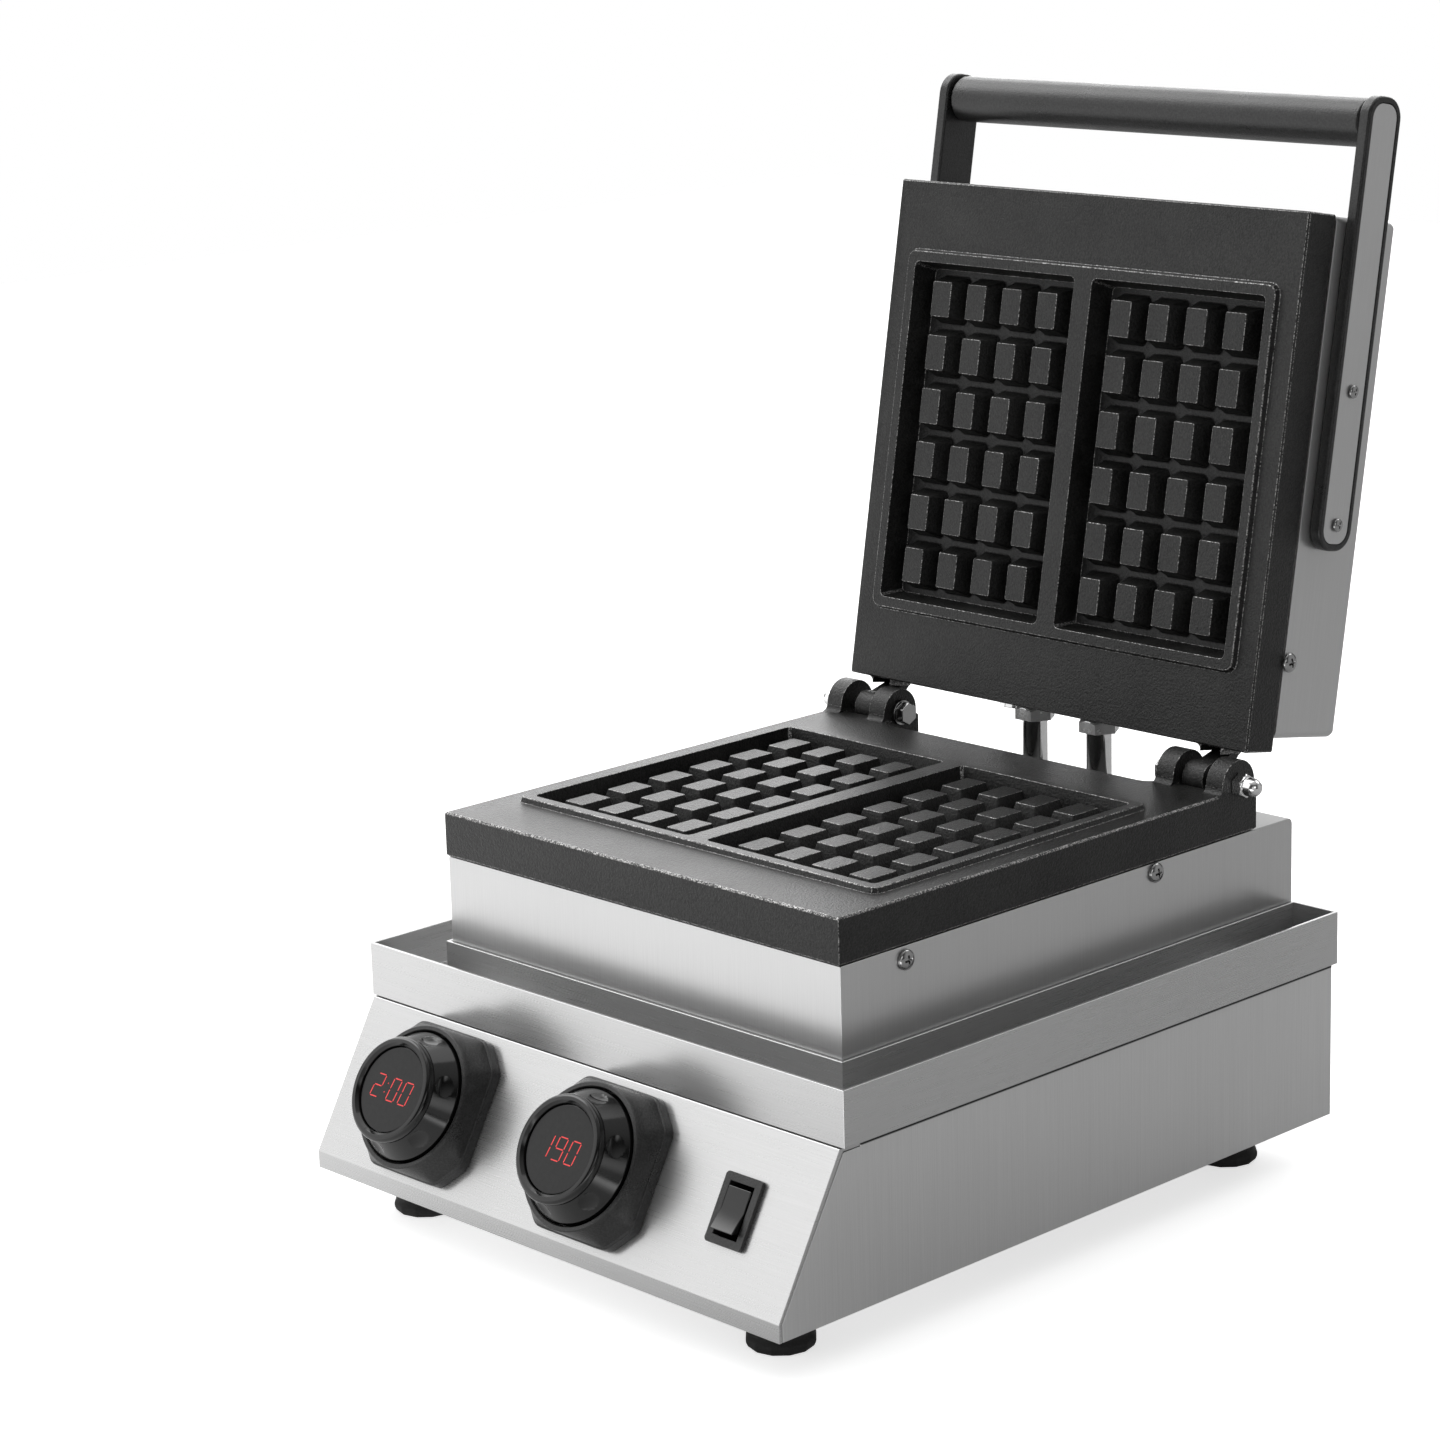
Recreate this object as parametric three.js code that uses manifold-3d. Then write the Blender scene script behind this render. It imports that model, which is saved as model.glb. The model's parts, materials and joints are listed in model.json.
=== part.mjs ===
// Belgian waffle maker for two waffles, with its lid standing open against its stops.
// Millimetres. X runs to the right, Y to the back, Z up.
// The casting frame used below has its zero at the middle of the lower plate's front top edge.
// The finished group is set down so that its origin is on the table, at the middle of the outline.

import * as THREE from 'three'
import { mergeVertices } from 'three/addons/utils/BufferGeometryUtils.js'
import Module from 'manifold-3d'

const wasm = await Module()
wasm.setup()

// Clearances and common widths
const seatGap = 0.3
const slideGap = 0.6
const matingGap = 0.4
const overrun = 2
const rim = 3

// Cooking plates
const plateWidth = 246.6
const plateDepth = 241.2
const plateEdge = 0.8
const plateCorner = 1.2
const lowerPlateThickness = 20.6
const upperPlateThickness = 19.6
const lipHeight = 2.5
const lipWidth = 4.8
const lipFoot = 1.2
const lipEdge = 0.4
const lipCorner = 4

// Waffle moulds
const cubeColumns = 4
const cubeRows = 6
const cubePitchX = 22.25
const cubePitchY = 25.7
const cubeTopX = 11.9
const cubeTopY = 16.8
const cubeTopCorner = 1
const cubeBaseCorner = 3
const cubeBelowLip = 2.2
const channelWidth = 2.6
const mouldSideMargin = 6
const mouldEndMargin = 4.2
const mouldWeb = 10.8
const mouldFront = 38.6
const mouldDepth = 12.5
const mouldDraft = 2.6
const mouldCorner = 2.5
const mouldWidth = cubeColumns * cubePitchX + 2 * mouldSideMargin
const mouldLength = cubeRows * cubePitchY + 2 * mouldEndMargin
const mouldCentreX = (mouldWeb + mouldWidth) / 2
const mouldCentreY = mouldFront + mouldLength / 2

// Hinge
const openAngle = THREE.MathUtils.degToRad(100.25)
const hingeBehindPlate = 14
const knuckleRadius = 11.3
const knuckleFillet = 3
const innerKnuckleLength = 10.2
const lugRadius = 7.3
const lugLength = 11.7
const lugInnerGap = 1.7
const lugOuterGap = 5.3
const outerKnuckleLength = 9.6
const slotClearance = 0.8
const earFillet = 8
const earBehindHinge = 12.8
const lugRoot = 18
const lugFillet = 3
const boltRadius = 3
const boltFit = 0.15
const boltHeadRadius = 5.5
const boltHeadHeight = 4.2
const boltWasherRadius = 6.2
const boltWasherHeight = 1.6
const nutRadius = 5.7
const nutHexHeight = 5
const nutDomeRadius = 4.3
const nutDomeNeck = 2.7
const hingeY = plateDepth + hingeBehindPlate
const hingeZ = lipHeight + matingGap / 2
const upperRimZ = 2 * lipHeight + matingGap
const upperBackZ = upperRimZ + upperPlateThickness
const outerKnuckleStart = plateWidth / 2 - outerKnuckleLength
const lugStart = outerKnuckleStart - lugOuterGap - lugLength
const innerKnuckleStart = lugStart - lugInnerGap - innerKnuckleLength

// Lid cover
const sheet = 1.5
const coverHeight = 45
const coverSetBack = 6
const coverBend = 3
const coverCorner = 3.6
const coverTopZ = upperBackZ + coverHeight

// Housing under the lower plate
const housingSetIn = 0.4
const housingFront = 0.9
const housingBehindHinge = 39.3
const housingBend = 3
const housingBelowPlate = 39.8
const housingBack = hingeY + housingBehindHinge
const housingWidth = plateWidth - 2 * housingSetIn
const trayTopZ = -lowerPlateThickness - housingBelowPlate

// Drip tray
const trayUpstandGap = 0.6
const gutterWidth = 22.8
const bandHeight = 24.6
const gutterDepth = 19
const trayUpstandHalf = housingWidth / 2 + trayUpstandGap + sheet
const trayHalfWidth = trayUpstandHalf + gutterWidth + sheet
const trayFront = housingFront - trayUpstandGap - sheet - gutterWidth - sheet
const trayBottomZ = trayTopZ - bandHeight

// Body
const bodySetIn = 1.8
const bodySlopeHeight = 64
const bodyLip = 8
const deckLedge = 6
const panelAngle = THREE.MathUtils.degToRad(29.6)
const panelFlange = 12
const panelAhead = 0.8
const bodyHalfWidth = trayHalfWidth - bodySetIn
const panelTopZ = trayBottomZ - seatGap
const panelTopY = trayFront - panelAhead
const bodyBottomZ = panelTopZ - bodySlopeHeight - bodyLip
const panelBottomY = panelTopY - bodySlopeHeight * Math.tan(panelAngle)
const panelSlope = bodySlopeHeight / Math.cos(panelAngle)
const bodyBack = housingBack - bodySetIn
const footHeight = 20
const footRadius = 13
const footSole = 15
const footInset = 34
const footScrewRadius = 3
const footStud = 4
const tableZ = bodyBottomZ - footHeight

// Controls
const knobDown = 36.9
const leftKnobInset = 62.8
const leftKnobX = leftKnobInset - bodyHalfWidth
const rightKnobInset = 122.3
const rightKnobX = bodyHalfWidth - rightKnobInset
const bezelWidth = 67.2
const bezelHeight = 67.2
const bezelChamfer = 11.9
const bezelBase = 5
const bezelRise = 10
const bezelTopRadius = 32.3
const bezelBore = 29.9
const bezelRecess = 9
const knobSkirtRadius = 29
const knobNeckRadius = 22.9
const knobRingRadius = 23.7
const knobRingBore = 19.4
const knobLength = 29.2
const knobRingHeight = 4.2
const knobStep = 1
const knobShoulder = 6
const knobScallops = 6
const scallopTurn = 0.333
const scallopReach = 29.3
const scallopHeight = 20.3
const scallopSize = [7.2, 10.2, 4.6]
const displayRadius = 19
const displayThickness = 3.2
const displaySetBack = 2
const displayStem = 9
const stemFit = 0.4
const switchInset = 41.5
const switchX = bodyHalfWidth - switchInset
const switchWidth = 21
const switchHeight = 30
const switchFlange = 2
const switchFlangeHeight = 2.2
const switchDepth = 18
const rockerProud = 4.2
const rockerTilt = THREE.MathUtils.degToRad(8)

// Handle on the lid
const armRear = 149
const armBelow = 6.4
const armHeight = 24
const armThickness = 6
const armCorner = 10
const armReach = 54
const armEdge = 0.8
const inlayThickness = 1.2
const gripRadius = 11
const gripEdge = 1.5
const handleScrewRadius = 3.2
const handleScrewHeight = 1.6

// Lid stops and small screws
const stopX = 20
const stopBehindHinge = 25
const stopAcross = 8.7
const stopHeadHeight = 6.3
const stopSleeveRadius = 6
const stopTopZ = 12.1
const panHeadRadius = 4.5
const panHeadHeight = 2.4
const panShank = 6
const panShankRadius = 1.9
const bossLength = 16
const bossDepth = 12
const housingScrewFrontY = 38.7
const housingScrewRearY = 197.7
const housingScrewFrontDrop = 6.1
const housingScrewRearDrop = 4.6
const coverScrewY = 200.2
const coverScrewRise = 3.2

// Heating
const heaterRadius = 4
const heaterInset = 36
const heaterBendSteps = 6
const heaterSides = 6
const heaterLegs = 4
const clampThickness = 3
const clampInset = 24
const insulationThickness = 10
const insulationInset = 18
const probeRadius = 3
const probeLength = 40

// Wiring
const boardWidth = 150
const boardDepth = 46
const boardThickness = 1.6
const boardPost = 9
const boardPostRadius = 3
const boardInset = 8
const boardFromFront = 30
const componentHeight = 10
const terminalWidth = 54
const terminalDepth = 24
const terminalHeight = 22
const glandRadius = 8
const glandNutRadius = 10
const glandNutLength = 6
const glandLength = 14
const mainsGlandInset = 51.5
const mainsGlandX = mainsGlandInset - bodyHalfWidth
const glandBore = 6
const lidGlandInset = 65.3
const lidGlandX = lidGlandInset - plateWidth / 2
const lidGlandRise = 31
const bodyGlandDrop = 30

// Materials
const steel = () => new THREE.MeshStandardMaterial({ color: 0xb9babc, roughness: 0.35, metalness: 1 })
const casting = () => new THREE.MeshStandardMaterial({ color: 0x2a2a2b, roughness: 0.5, metalness: 0.3 })
const chrome = () => new THREE.MeshStandardMaterial({ color: 0xdcdcdc, roughness: 0.12, metalness: 1 })
const screwSteel = () => new THREE.MeshStandardMaterial({ color: 0x6c6d70, roughness: 0.25, metalness: 1 })
const blackPlastic = () => new THREE.MeshStandardMaterial({ color: 0x202021, roughness: 0.45 })
const glossPlastic = () => new THREE.MeshStandardMaterial({ color: 0x111112, roughness: 0.15 })
const displayGlass = () => new THREE.MeshStandardMaterial({ color: 0x2b2b2d, roughness: 0.08 })
const rubber = () => new THREE.MeshStandardMaterial({ color: 0x1c1c1c, roughness: 0.8 })
const heaterSteel = () =>
  new THREE.MeshStandardMaterial({ color: 0x55524e, roughness: 0.55, metalness: 0.8 })
const mineralFibre = () => new THREE.MeshStandardMaterial({ color: 0xd8d2c2, roughness: 0.95 })
const circuitBoard = () => new THREE.MeshStandardMaterial({ color: 0x1f5a35, roughness: 0.6 })
const ceramic = () => new THREE.MeshStandardMaterial({ color: 0xe4e0d6, roughness: 0.6 })

// Turning a geometry into a solid and back
function solidOf(geometry) {
  const bare = geometry.clone()
  bare.deleteAttribute('normal')
  bare.deleteAttribute('uv')
  const merged = mergeVertices(bare)
  const vertProperties = new Float32Array(merged.attributes.position.array)
  const triVerts = new Uint32Array(merged.index.array)
  return new wasm.Manifold(new wasm.Mesh({ numProp: 3, vertProperties, triVerts }))
}

function geometryOf(solid) {
  const mesh = solid.getMesh()
  const geometry = new THREE.BufferGeometry()
  geometry.setAttribute('position', new THREE.BufferAttribute(new Float32Array(mesh.vertProperties), 3))
  geometry.setIndex(new THREE.BufferAttribute(new Uint32Array(mesh.triVerts), 1))
  const flat = geometry.toNonIndexed()
  flat.computeVertexNormals()
  return flat
}

function joined(...geometries) {
  return geometryOf(geometries.map(solidOf).reduce((sum, piece) => sum.add(piece)))
}

function cut(geometry, ...cutters) {
  const solids = cutters.map(solidOf)
  return geometryOf(solids.reduce((rest, cutter) => rest.subtract(cutter), solidOf(geometry)))
}

// Basic forms
function block(x0, x1, y0, y1, z0, z1) {
  const geometry = new THREE.BoxGeometry(x1 - x0, y1 - y0, z1 - z0)
  return geometry.translate((x0 + x1) / 2, (y0 + y1) / 2, (z0 + z1) / 2)
}

function rodX(radius, x0, x1, y, z, sides = 24) {
  const geometry = new THREE.CylinderGeometry(radius, radius, x1 - x0, sides)
  return geometry.rotateZ(Math.PI / 2).translate((x0 + x1) / 2, y, z)
}

function rodY(radius, y0, y1, x, z, sides = 24) {
  const geometry = new THREE.CylinderGeometry(radius, radius, y1 - y0, sides)
  return geometry.translate(x, (y0 + y1) / 2, z)
}

function rodZ(radius, z0, z1, x, y, sides = 24) {
  const geometry = new THREE.CylinderGeometry(radius, radius, z1 - z0, sides)
  return geometry.rotateX(Math.PI / 2).translate(x, y, (z0 + z1) / 2)
}

function turned(profile, sides) {
  const points = profile.map(([radius, height]) => new THREE.Vector2(radius, height))
  return new THREE.LatheGeometry(points, sides).rotateX(Math.PI / 2)
}

function polygon(points) {
  return new THREE.Shape(points.map(([a, b]) => new THREE.Vector2(a, b)))
}

function roundedRectangle(x0, x1, y0, y1, radius) {
  const shape = new THREE.Shape()
  shape.moveTo(x0 + radius, y0)
  shape.lineTo(x1 - radius, y0)
  shape.absarc(x1 - radius, y0 + radius, radius, -Math.PI / 2, 0)
  shape.lineTo(x1, y1 - radius)
  shape.absarc(x1 - radius, y1 - radius, radius, 0, Math.PI / 2)
  shape.lineTo(x0 + radius, y1)
  shape.absarc(x0 + radius, y1 - radius, radius, Math.PI / 2, Math.PI)
  shape.lineTo(x0, y0 + radius)
  shape.absarc(x0 + radius, y0 + radius, radius, Math.PI, 3 * Math.PI / 2)
  return shape
}

// A plan outline raised from z0 to z1, with its edges rounded over when edge is more than zero
function raised(shape, z0, z1, edge = 0, steps = 3) {
  const options = { depth: z1 - z0 - 2 * edge, bevelEnabled: edge > 0, curveSegments: steps }
  const bevel = { bevelThickness: edge, bevelSize: edge, bevelOffset: -edge }
  Object.assign(options, bevel, { bevelSegments: edge > 1 ? 2 : 1 })
  return new THREE.ExtrudeGeometry(shape, options).translate(0, 0, z0 + edge)
}

// A side outline in Y and Z, swept along X from x0 to x1
const sideToSpace = new THREE.Matrix4().set(0, 0, 1, 0, 1, 0, 0, 0, 0, 1, 0, 0, 0, 0, 0, 1)
function swept(shape, x0, x1, edge = 0, steps = 3) {
  return raised(shape, x0, x1, edge, steps).applyMatrix4(sideToSpace)
}

// A skin through rings of points, closed at both ends. The rings run from the bottom up.
function loft(rings) {
  const count = rings[0].length
  const centreOf = (ring) => ring.reduce((sum, p) => sum.add(p), new THREE.Vector3()).divideScalar(count)
  const points = [...rings.flat(), centreOf(rings[0]), centreOf(rings.at(-1))]
  const low = rings.length * count
  const top = (rings.length - 1) * count
  const faces = []
  for (let i = 0; i < count; i++) {
    const next = (i + 1) % count
    for (let r = 0; r < rings.length - 1; r++) {
      const a = r * count + i
      const b = r * count + next
      faces.push(a, b, b + count, a, b + count, a + count)
    }
    faces.push(low, next, i)
    faces.push(low + 1, top + i, top + next)
  }
  const geometry = new THREE.BufferGeometry().setFromPoints(points)
  geometry.setIndex(faces)
  const flat = geometry.toNonIndexed()
  flat.computeVertexNormals()
  return flat
}

function roundedRing(width, length, radius, x, y, z, steps = 3) {
  const ring = []
  for (let corner = 0; corner < 4; corner++) {
    const signX = corner === 0 || corner === 3 ? 1 : -1
    const signY = corner < 2 ? 1 : -1
    for (let step = 0; step <= steps; step++) {
      const angle = (corner + step / steps) * Math.PI / 2
      const px = x + signX * (width / 2 - radius) + radius * Math.cos(angle)
      const py = y + signY * (length / 2 - radius) + radius * Math.sin(angle)
      ring.push(new THREE.Vector3(px, py, z))
    }
  }
  return ring
}

// One piece of the machine
function piece(name, geometry, material) {
  const mesh = new THREE.Mesh(geometry, material)
  mesh.name = name
  return mesh
}

// Waffle mould castings
function mouldPocket(centreX) {
  const floor = lipHeight - mouldDepth
  const inner = [mouldWidth - 2 * mouldDraft, mouldLength - 2 * mouldDraft]
  return loft([
    roundedRing(inner[0], inner[1], mouldCorner, centreX, mouldCentreY, floor),
    roundedRing(mouldWidth, mouldLength, mouldCorner, centreX, mouldCentreY, lipHeight),
    roundedRing(mouldWidth, mouldLength, mouldCorner, centreX, mouldCentreY, lipHeight + overrun)
  ])
}

function mouldCube(x, y) {
  const floor = lipHeight - mouldDepth
  const top = lipHeight - cubeBelowLip
  const baseX = cubePitchX - channelWidth
  const baseY = cubePitchY - channelWidth
  return loft([
    roundedRing(baseX, baseY, cubeBaseCorner, x, y, floor - seatGap, 1),
    roundedRing(baseX, baseY, cubeBaseCorner, x, y, floor, 1),
    roundedRing(cubeTopX, cubeTopY, cubeTopCorner, x, y, top, 1)
  ])
}

function raisedLip() {
  const width = 2 * (mouldCentreX + mouldWidth / 2 + lipWidth)
  const length = mouldLength + 2 * lipWidth
  const ring = (grow, z) => {
    return roundedRing(width + 2 * grow, length + 2 * grow, lipCorner + grow, 0, mouldCentreY, z)
  }
  return loft([
    ring(lipFoot, -lipHeight),
    ring(lipFoot, 0),
    ring(lipFoot / 4, lipHeight - lipEdge),
    ring(0, lipHeight)
  ])
}

// The moulded face of a plate looks up here, with its rim at zero height
function withMoulds(blank) {
  let solid = solidOf(blank).add(solidOf(raisedLip()))
  for (const side of [-1, 1]) solid = solid.subtract(solidOf(mouldPocket(side * mouldCentreX)))
  for (const side of [-1, 1]) {
    for (let column = 0; column < cubeColumns; column++) {
      for (let row = 0; row < cubeRows; row++) {
        const x = side * mouldCentreX + (column - (cubeColumns - 1) / 2) * cubePitchX
        const y = mouldCentreY + (row - (cubeRows - 1) / 2) * cubePitchY
        solid = solid.add(solidOf(mouldCube(x, y)))
      }
    }
  }
  return geometryOf(solid)
}

// Lower plate: outline with two ears, two knuckles on each ear and a slot for the lid's lug
function lowerPlateOutline() {
  const half = plateWidth / 2
  const back = hingeY + earBehindHinge
  const ear = innerKnuckleStart
  const shape = new THREE.Shape()
  shape.moveTo(-half, 0)
  shape.lineTo(half, 0)
  shape.lineTo(half, back)
  shape.lineTo(ear, back)
  shape.lineTo(ear, plateDepth + earFillet)
  shape.absarc(ear - earFillet, plateDepth + earFillet, earFillet, 0, -Math.PI / 2, true)
  shape.lineTo(-ear + earFillet, plateDepth)
  shape.absarc(-ear + earFillet, plateDepth + earFillet, earFillet, -Math.PI / 2, -Math.PI, true)
  shape.lineTo(-ear, back)
  shape.lineTo(-half, back)
  return shape
}

function knuckle(x0, x1) {
  const reach = knuckleRadius + knuckleFillet
  const shape = new THREE.Shape()
  shape.moveTo(hingeY - reach, -knuckleFillet)
  shape.lineTo(hingeY + knuckleRadius, -knuckleFillet)
  shape.lineTo(hingeY + knuckleRadius, hingeZ)
  shape.absarc(hingeY, hingeZ, knuckleRadius, 0, Math.PI)
  shape.lineTo(hingeY - knuckleRadius, knuckleFillet)
  shape.absarc(hingeY - reach, knuckleFillet, knuckleFillet, 0, -Math.PI / 2, true)
  return swept(shape, x0, x1, 0, 8)
}

function lugSlot(x0, x1) {
  const radius = lugRadius + slotClearance
  const shape = new THREE.Shape()
  shape.moveTo(hingeY, hingeZ - radius)
  shape.lineTo(hingeY + earBehindHinge + overrun, hingeZ - radius)
  shape.lineTo(hingeY + earBehindHinge + overrun, hingeZ + radius)
  shape.lineTo(hingeY, hingeZ + radius)
  shape.absarc(hingeY, hingeZ, radius, Math.PI / 2, 3 * Math.PI / 2)
  return swept(shape, x0, x1, 0, 10)
}

function screwBoss(side, y, drop) {
  const outer = side * (housingWidth / 2 - sheet - seatGap)
  const inner = outer - side * bossDepth
  const [x0, x1] = [Math.min(outer, inner), Math.max(outer, inner)]
  const low = -lowerPlateThickness - drop - bossLength / 2
  return block(x0, x1, y - bossLength / 2, y + bossLength / 2, low, -lowerPlateThickness + plateEdge)
}

function housingScrewPlaces() {
  return [
    [housingScrewFrontY, housingScrewFrontDrop],
    [housingScrewRearY, housingScrewRearDrop]
  ]
}

function lowerPlate() {
  let solid = solidOf(withMoulds(raised(lowerPlateOutline(), -lowerPlateThickness, 0, plateEdge)))
  for (const side of [-1, 1]) {
    const spans = [
      [innerKnuckleStart, innerKnuckleStart + innerKnuckleLength],
      [outerKnuckleStart, plateWidth / 2]
    ]
    for (const [near, far] of spans) {
      const [x0, x1] = side > 0 ? [near, far] : [-far, -near]
      solid = solid.add(solidOf(knuckle(x0, x1)))
    }
    const slot = [lugStart - lugInnerGap, outerKnuckleStart]
    const [s0, s1] = side > 0 ? slot : [-slot[1], -slot[0]]
    solid = solid.subtract(solidOf(lugSlot(s0, s1)))
    const bore = [innerKnuckleStart - overrun, plateWidth / 2 + overrun]
    const [b0, b1] = side > 0 ? bore : [-bore[1], -bore[0]]
    solid = solid.subtract(solidOf(rodX(boltRadius + boltFit, b0, b1, hingeY, hingeZ, 14)))
    const head = [innerKnuckleStart - earFillet, innerKnuckleStart]
    const [h0, h1] = side > 0 ? head : [-head[1], -head[0]]
    solid = solid.subtract(solidOf(rodX(boltWasherRadius + slideGap, h0, h1, hingeY, hingeZ, 14)))
    for (const [y, drop] of housingScrewPlaces()) {
      solid = solid.add(solidOf(screwBoss(side, y, drop)))
      const outer = housingWidth / 2
      const [x0, x1] = side > 0 ? [outer - bossDepth, outer] : [-outer, bossDepth - outer]
      const hole = rodX(panShankRadius + boltFit, x0, x1, y, -lowerPlateThickness - drop, 8)
      solid = solid.subtract(solidOf(hole))
    }
  }
  return piece('lower_plate', geometryOf(solid), casting())
}

// Upper plate, closed position: the same moulds looking down, with a lug at each hinge
function lug(x0, x1) {
  const flat = upperRimZ - hingeZ
  const startAngle = Math.PI - Math.asin(flat / lugRadius)
  const shape = new THREE.Shape()
  shape.moveTo(plateDepth - plateEdge - seatGap, upperRimZ)
  shape.absarc(hingeY, hingeZ, lugRadius, startAngle, 2 * Math.PI + Math.PI / 3)
  shape.lineTo(plateDepth - plateEdge - seatGap, upperRimZ + lugRoot)
  return swept(shape, x0, x1, 0, 14)
}

function lugFlare(x, side) {
  const y = plateDepth - plateEdge
  const shape = new THREE.Shape()
  shape.moveTo(x, y)
  shape.lineTo(x - side * lugFillet, y)
  shape.lineTo(x - side * lugFillet, plateDepth)
  const centre = [x - side * lugFillet, plateDepth + lugFillet]
  if (side > 0) shape.absarc(centre[0], centre[1], lugFillet, -Math.PI / 2, 0)
  else shape.absarc(centre[0], centre[1], lugFillet, -Math.PI / 2, -Math.PI, true)
  shape.lineTo(x + side * seatGap, plateDepth + lugFillet)
  shape.lineTo(x + side * seatGap, y)
  return raised(shape, upperRimZ + plateEdge, upperRimZ + lugRoot - lugFillet)
}

function upperPlate() {
  const outline = roundedRectangle(-plateWidth / 2, plateWidth / 2, 0, plateDepth, plateCorner)
  const blank = raised(outline, -upperPlateThickness, 0, plateEdge)
  const face = withMoulds(blank).rotateY(Math.PI).translate(0, 0, upperRimZ)
  let solid = solidOf(face)
  for (const side of [-1, 1]) {
    const [x0, x1] = side > 0 ? [lugStart, lugStart + lugLength] : [-lugStart - lugLength, -lugStart]
    solid = solid.add(solidOf(lug(x0, x1)))
    solid = solid.add(solidOf(lugFlare(side * lugStart, side)))
    solid = solid.add(solidOf(lugFlare(side * (lugStart + lugLength), -side)))
    const hole = rodX(boltRadius + boltFit, x0 - overrun, x1 + overrun, hingeY, hingeZ, 14)
    solid = solid.subtract(solidOf(hole))
  }
  return piece('upper_plate', geometryOf(solid), casting())
}

// Hinge bolts, each with a hexagon head on a washer inside and a domed nut outside
function hingeBolt(side, name) {
  const seat = innerKnuckleStart - seatGap
  const washer = seat - boltWasherHeight
  const shank = joined(
    rodX(boltHeadRadius, washer - boltHeadHeight, washer + boltWasherHeight / 2, hingeY, hingeZ, 6),
    rodX(boltWasherRadius, washer, seat, hingeY, hingeZ, 18),
    rodX(boltRadius, seat - boltWasherHeight / 2, plateWidth / 2, hingeY, hingeZ, 14)
  )
  if (side < 0) shank.rotateZ(Math.PI).translate(0, 2 * hingeY, 0)
  return piece(name, shank, screwSteel())
}

function acornNut(side, name) {
  const dome = [[0, 0], [nutDomeRadius, 0], [nutDomeRadius, nutHexHeight + nutDomeNeck]]
  const steps = 5
  for (let step = 1; step <= steps; step++) {
    const angle = step / steps * Math.PI / 2
    const height = nutHexHeight + nutDomeNeck + nutDomeRadius * Math.sin(angle)
    dome.push([step === steps ? 0 : nutDomeRadius * Math.cos(angle), height])
  }
  const hex = new THREE.CylinderGeometry(nutRadius, nutRadius, nutHexHeight, 6)
  hex.rotateX(Math.PI / 2).rotateZ(Math.PI / 6).translate(0, 0, nutHexHeight / 2)
  const nut = joined(turned(dome, 18), hex).rotateY(side * Math.PI / 2)
  nut.translate(side * (plateWidth / 2 + seatGap), hingeY, hingeZ)
  return piece(name, nut, chrome())
}

// Housing: four walls and a strip behind the plate, open under the plate and below
function plateHousing() {
  const half = housingWidth / 2
  const top = -lowerPlateThickness - seatGap
  const bottom = trayTopZ - gutterDepth - sheet
  const profile = new THREE.Shape()
  profile.moveTo(housingFront, bottom)
  profile.lineTo(housingBack, bottom)
  profile.lineTo(housingBack, top - housingBend)
  profile.absarc(housingBack - housingBend, top - housingBend, housingBend, 0, Math.PI / 2)
  profile.lineTo(housingFront, top)
  const outside = swept(profile, -half, half)
  const inner = half - sheet
  const [front, back] = [housingFront + sheet, housingBack - sheet]
  const room = block(-inner, inner, front, back, bottom - overrun, top - sheet)
  const mouth = block(-inner, inner, front, plateDepth - earFillet, top - overrun, top + overrun)
  const holes = []
  for (const [y, drop] of housingScrewPlaces()) {
    const z = -lowerPlateThickness - drop
    holes.push(rodX(panShankRadius + boltFit, -half - overrun, half + overrun, y, z, 8))
  }
  for (const side of [-1, 1]) {
    const y = hingeY + stopBehindHinge
    holes.push(rodZ(boltRadius + boltFit, top - overrun * 2, top + overrun, side * stopX, y, 10))
  }
  return piece('plate_housing', cut(outside, room, mouth, ...holes), steel())
}

// Drip tray: a band outside, a gutter on three sides and an upstand round the housing
function dripTray() {
  const half = trayHalfWidth
  const outside = block(-half, half, trayFront, housingBack, trayBottomZ, trayTopZ)
  const upstand = trayUpstandHalf
  const hole = upstand - sheet
  const frontUpstand = trayFront + sheet + gutterWidth
  const opening = block(
    -hole, hole, frontUpstand + sheet, housingBack + overrun, trayBottomZ - overrun, trayTopZ + overrun
  )
  const floor = trayTopZ - gutterDepth
  const gutterSpace = block(
    -half + sheet, half - sheet, trayFront + sheet, housingBack - sheet, floor, trayTopZ + overrun
  )
  const upstandCore = block(
    -upstand, upstand, frontUpstand, housingBack + overrun, floor - overrun, trayTopZ + 2 * overrun
  )
  const gutter = cut(gutterSpace, upstandCore)
  const skirtRoom = block(
    -half + sheet, half - sheet, trayFront + sheet, housingBack - sheet,
    trayBottomZ - overrun, floor - sheet
  )
  const keep = block(-upstand, upstand, frontUpstand, housingBack, floor - sheet, trayTopZ)
  const wall = cut(keep, block(
    -hole, hole, frontUpstand + sheet, housingBack + overrun, trayBottomZ - overrun, trayTopZ + overrun
  ))
  const shell = joined(cut(outside, opening, gutter, skirtRoom), wall)
  return piece('drip_tray', shell, steel())
}

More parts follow.
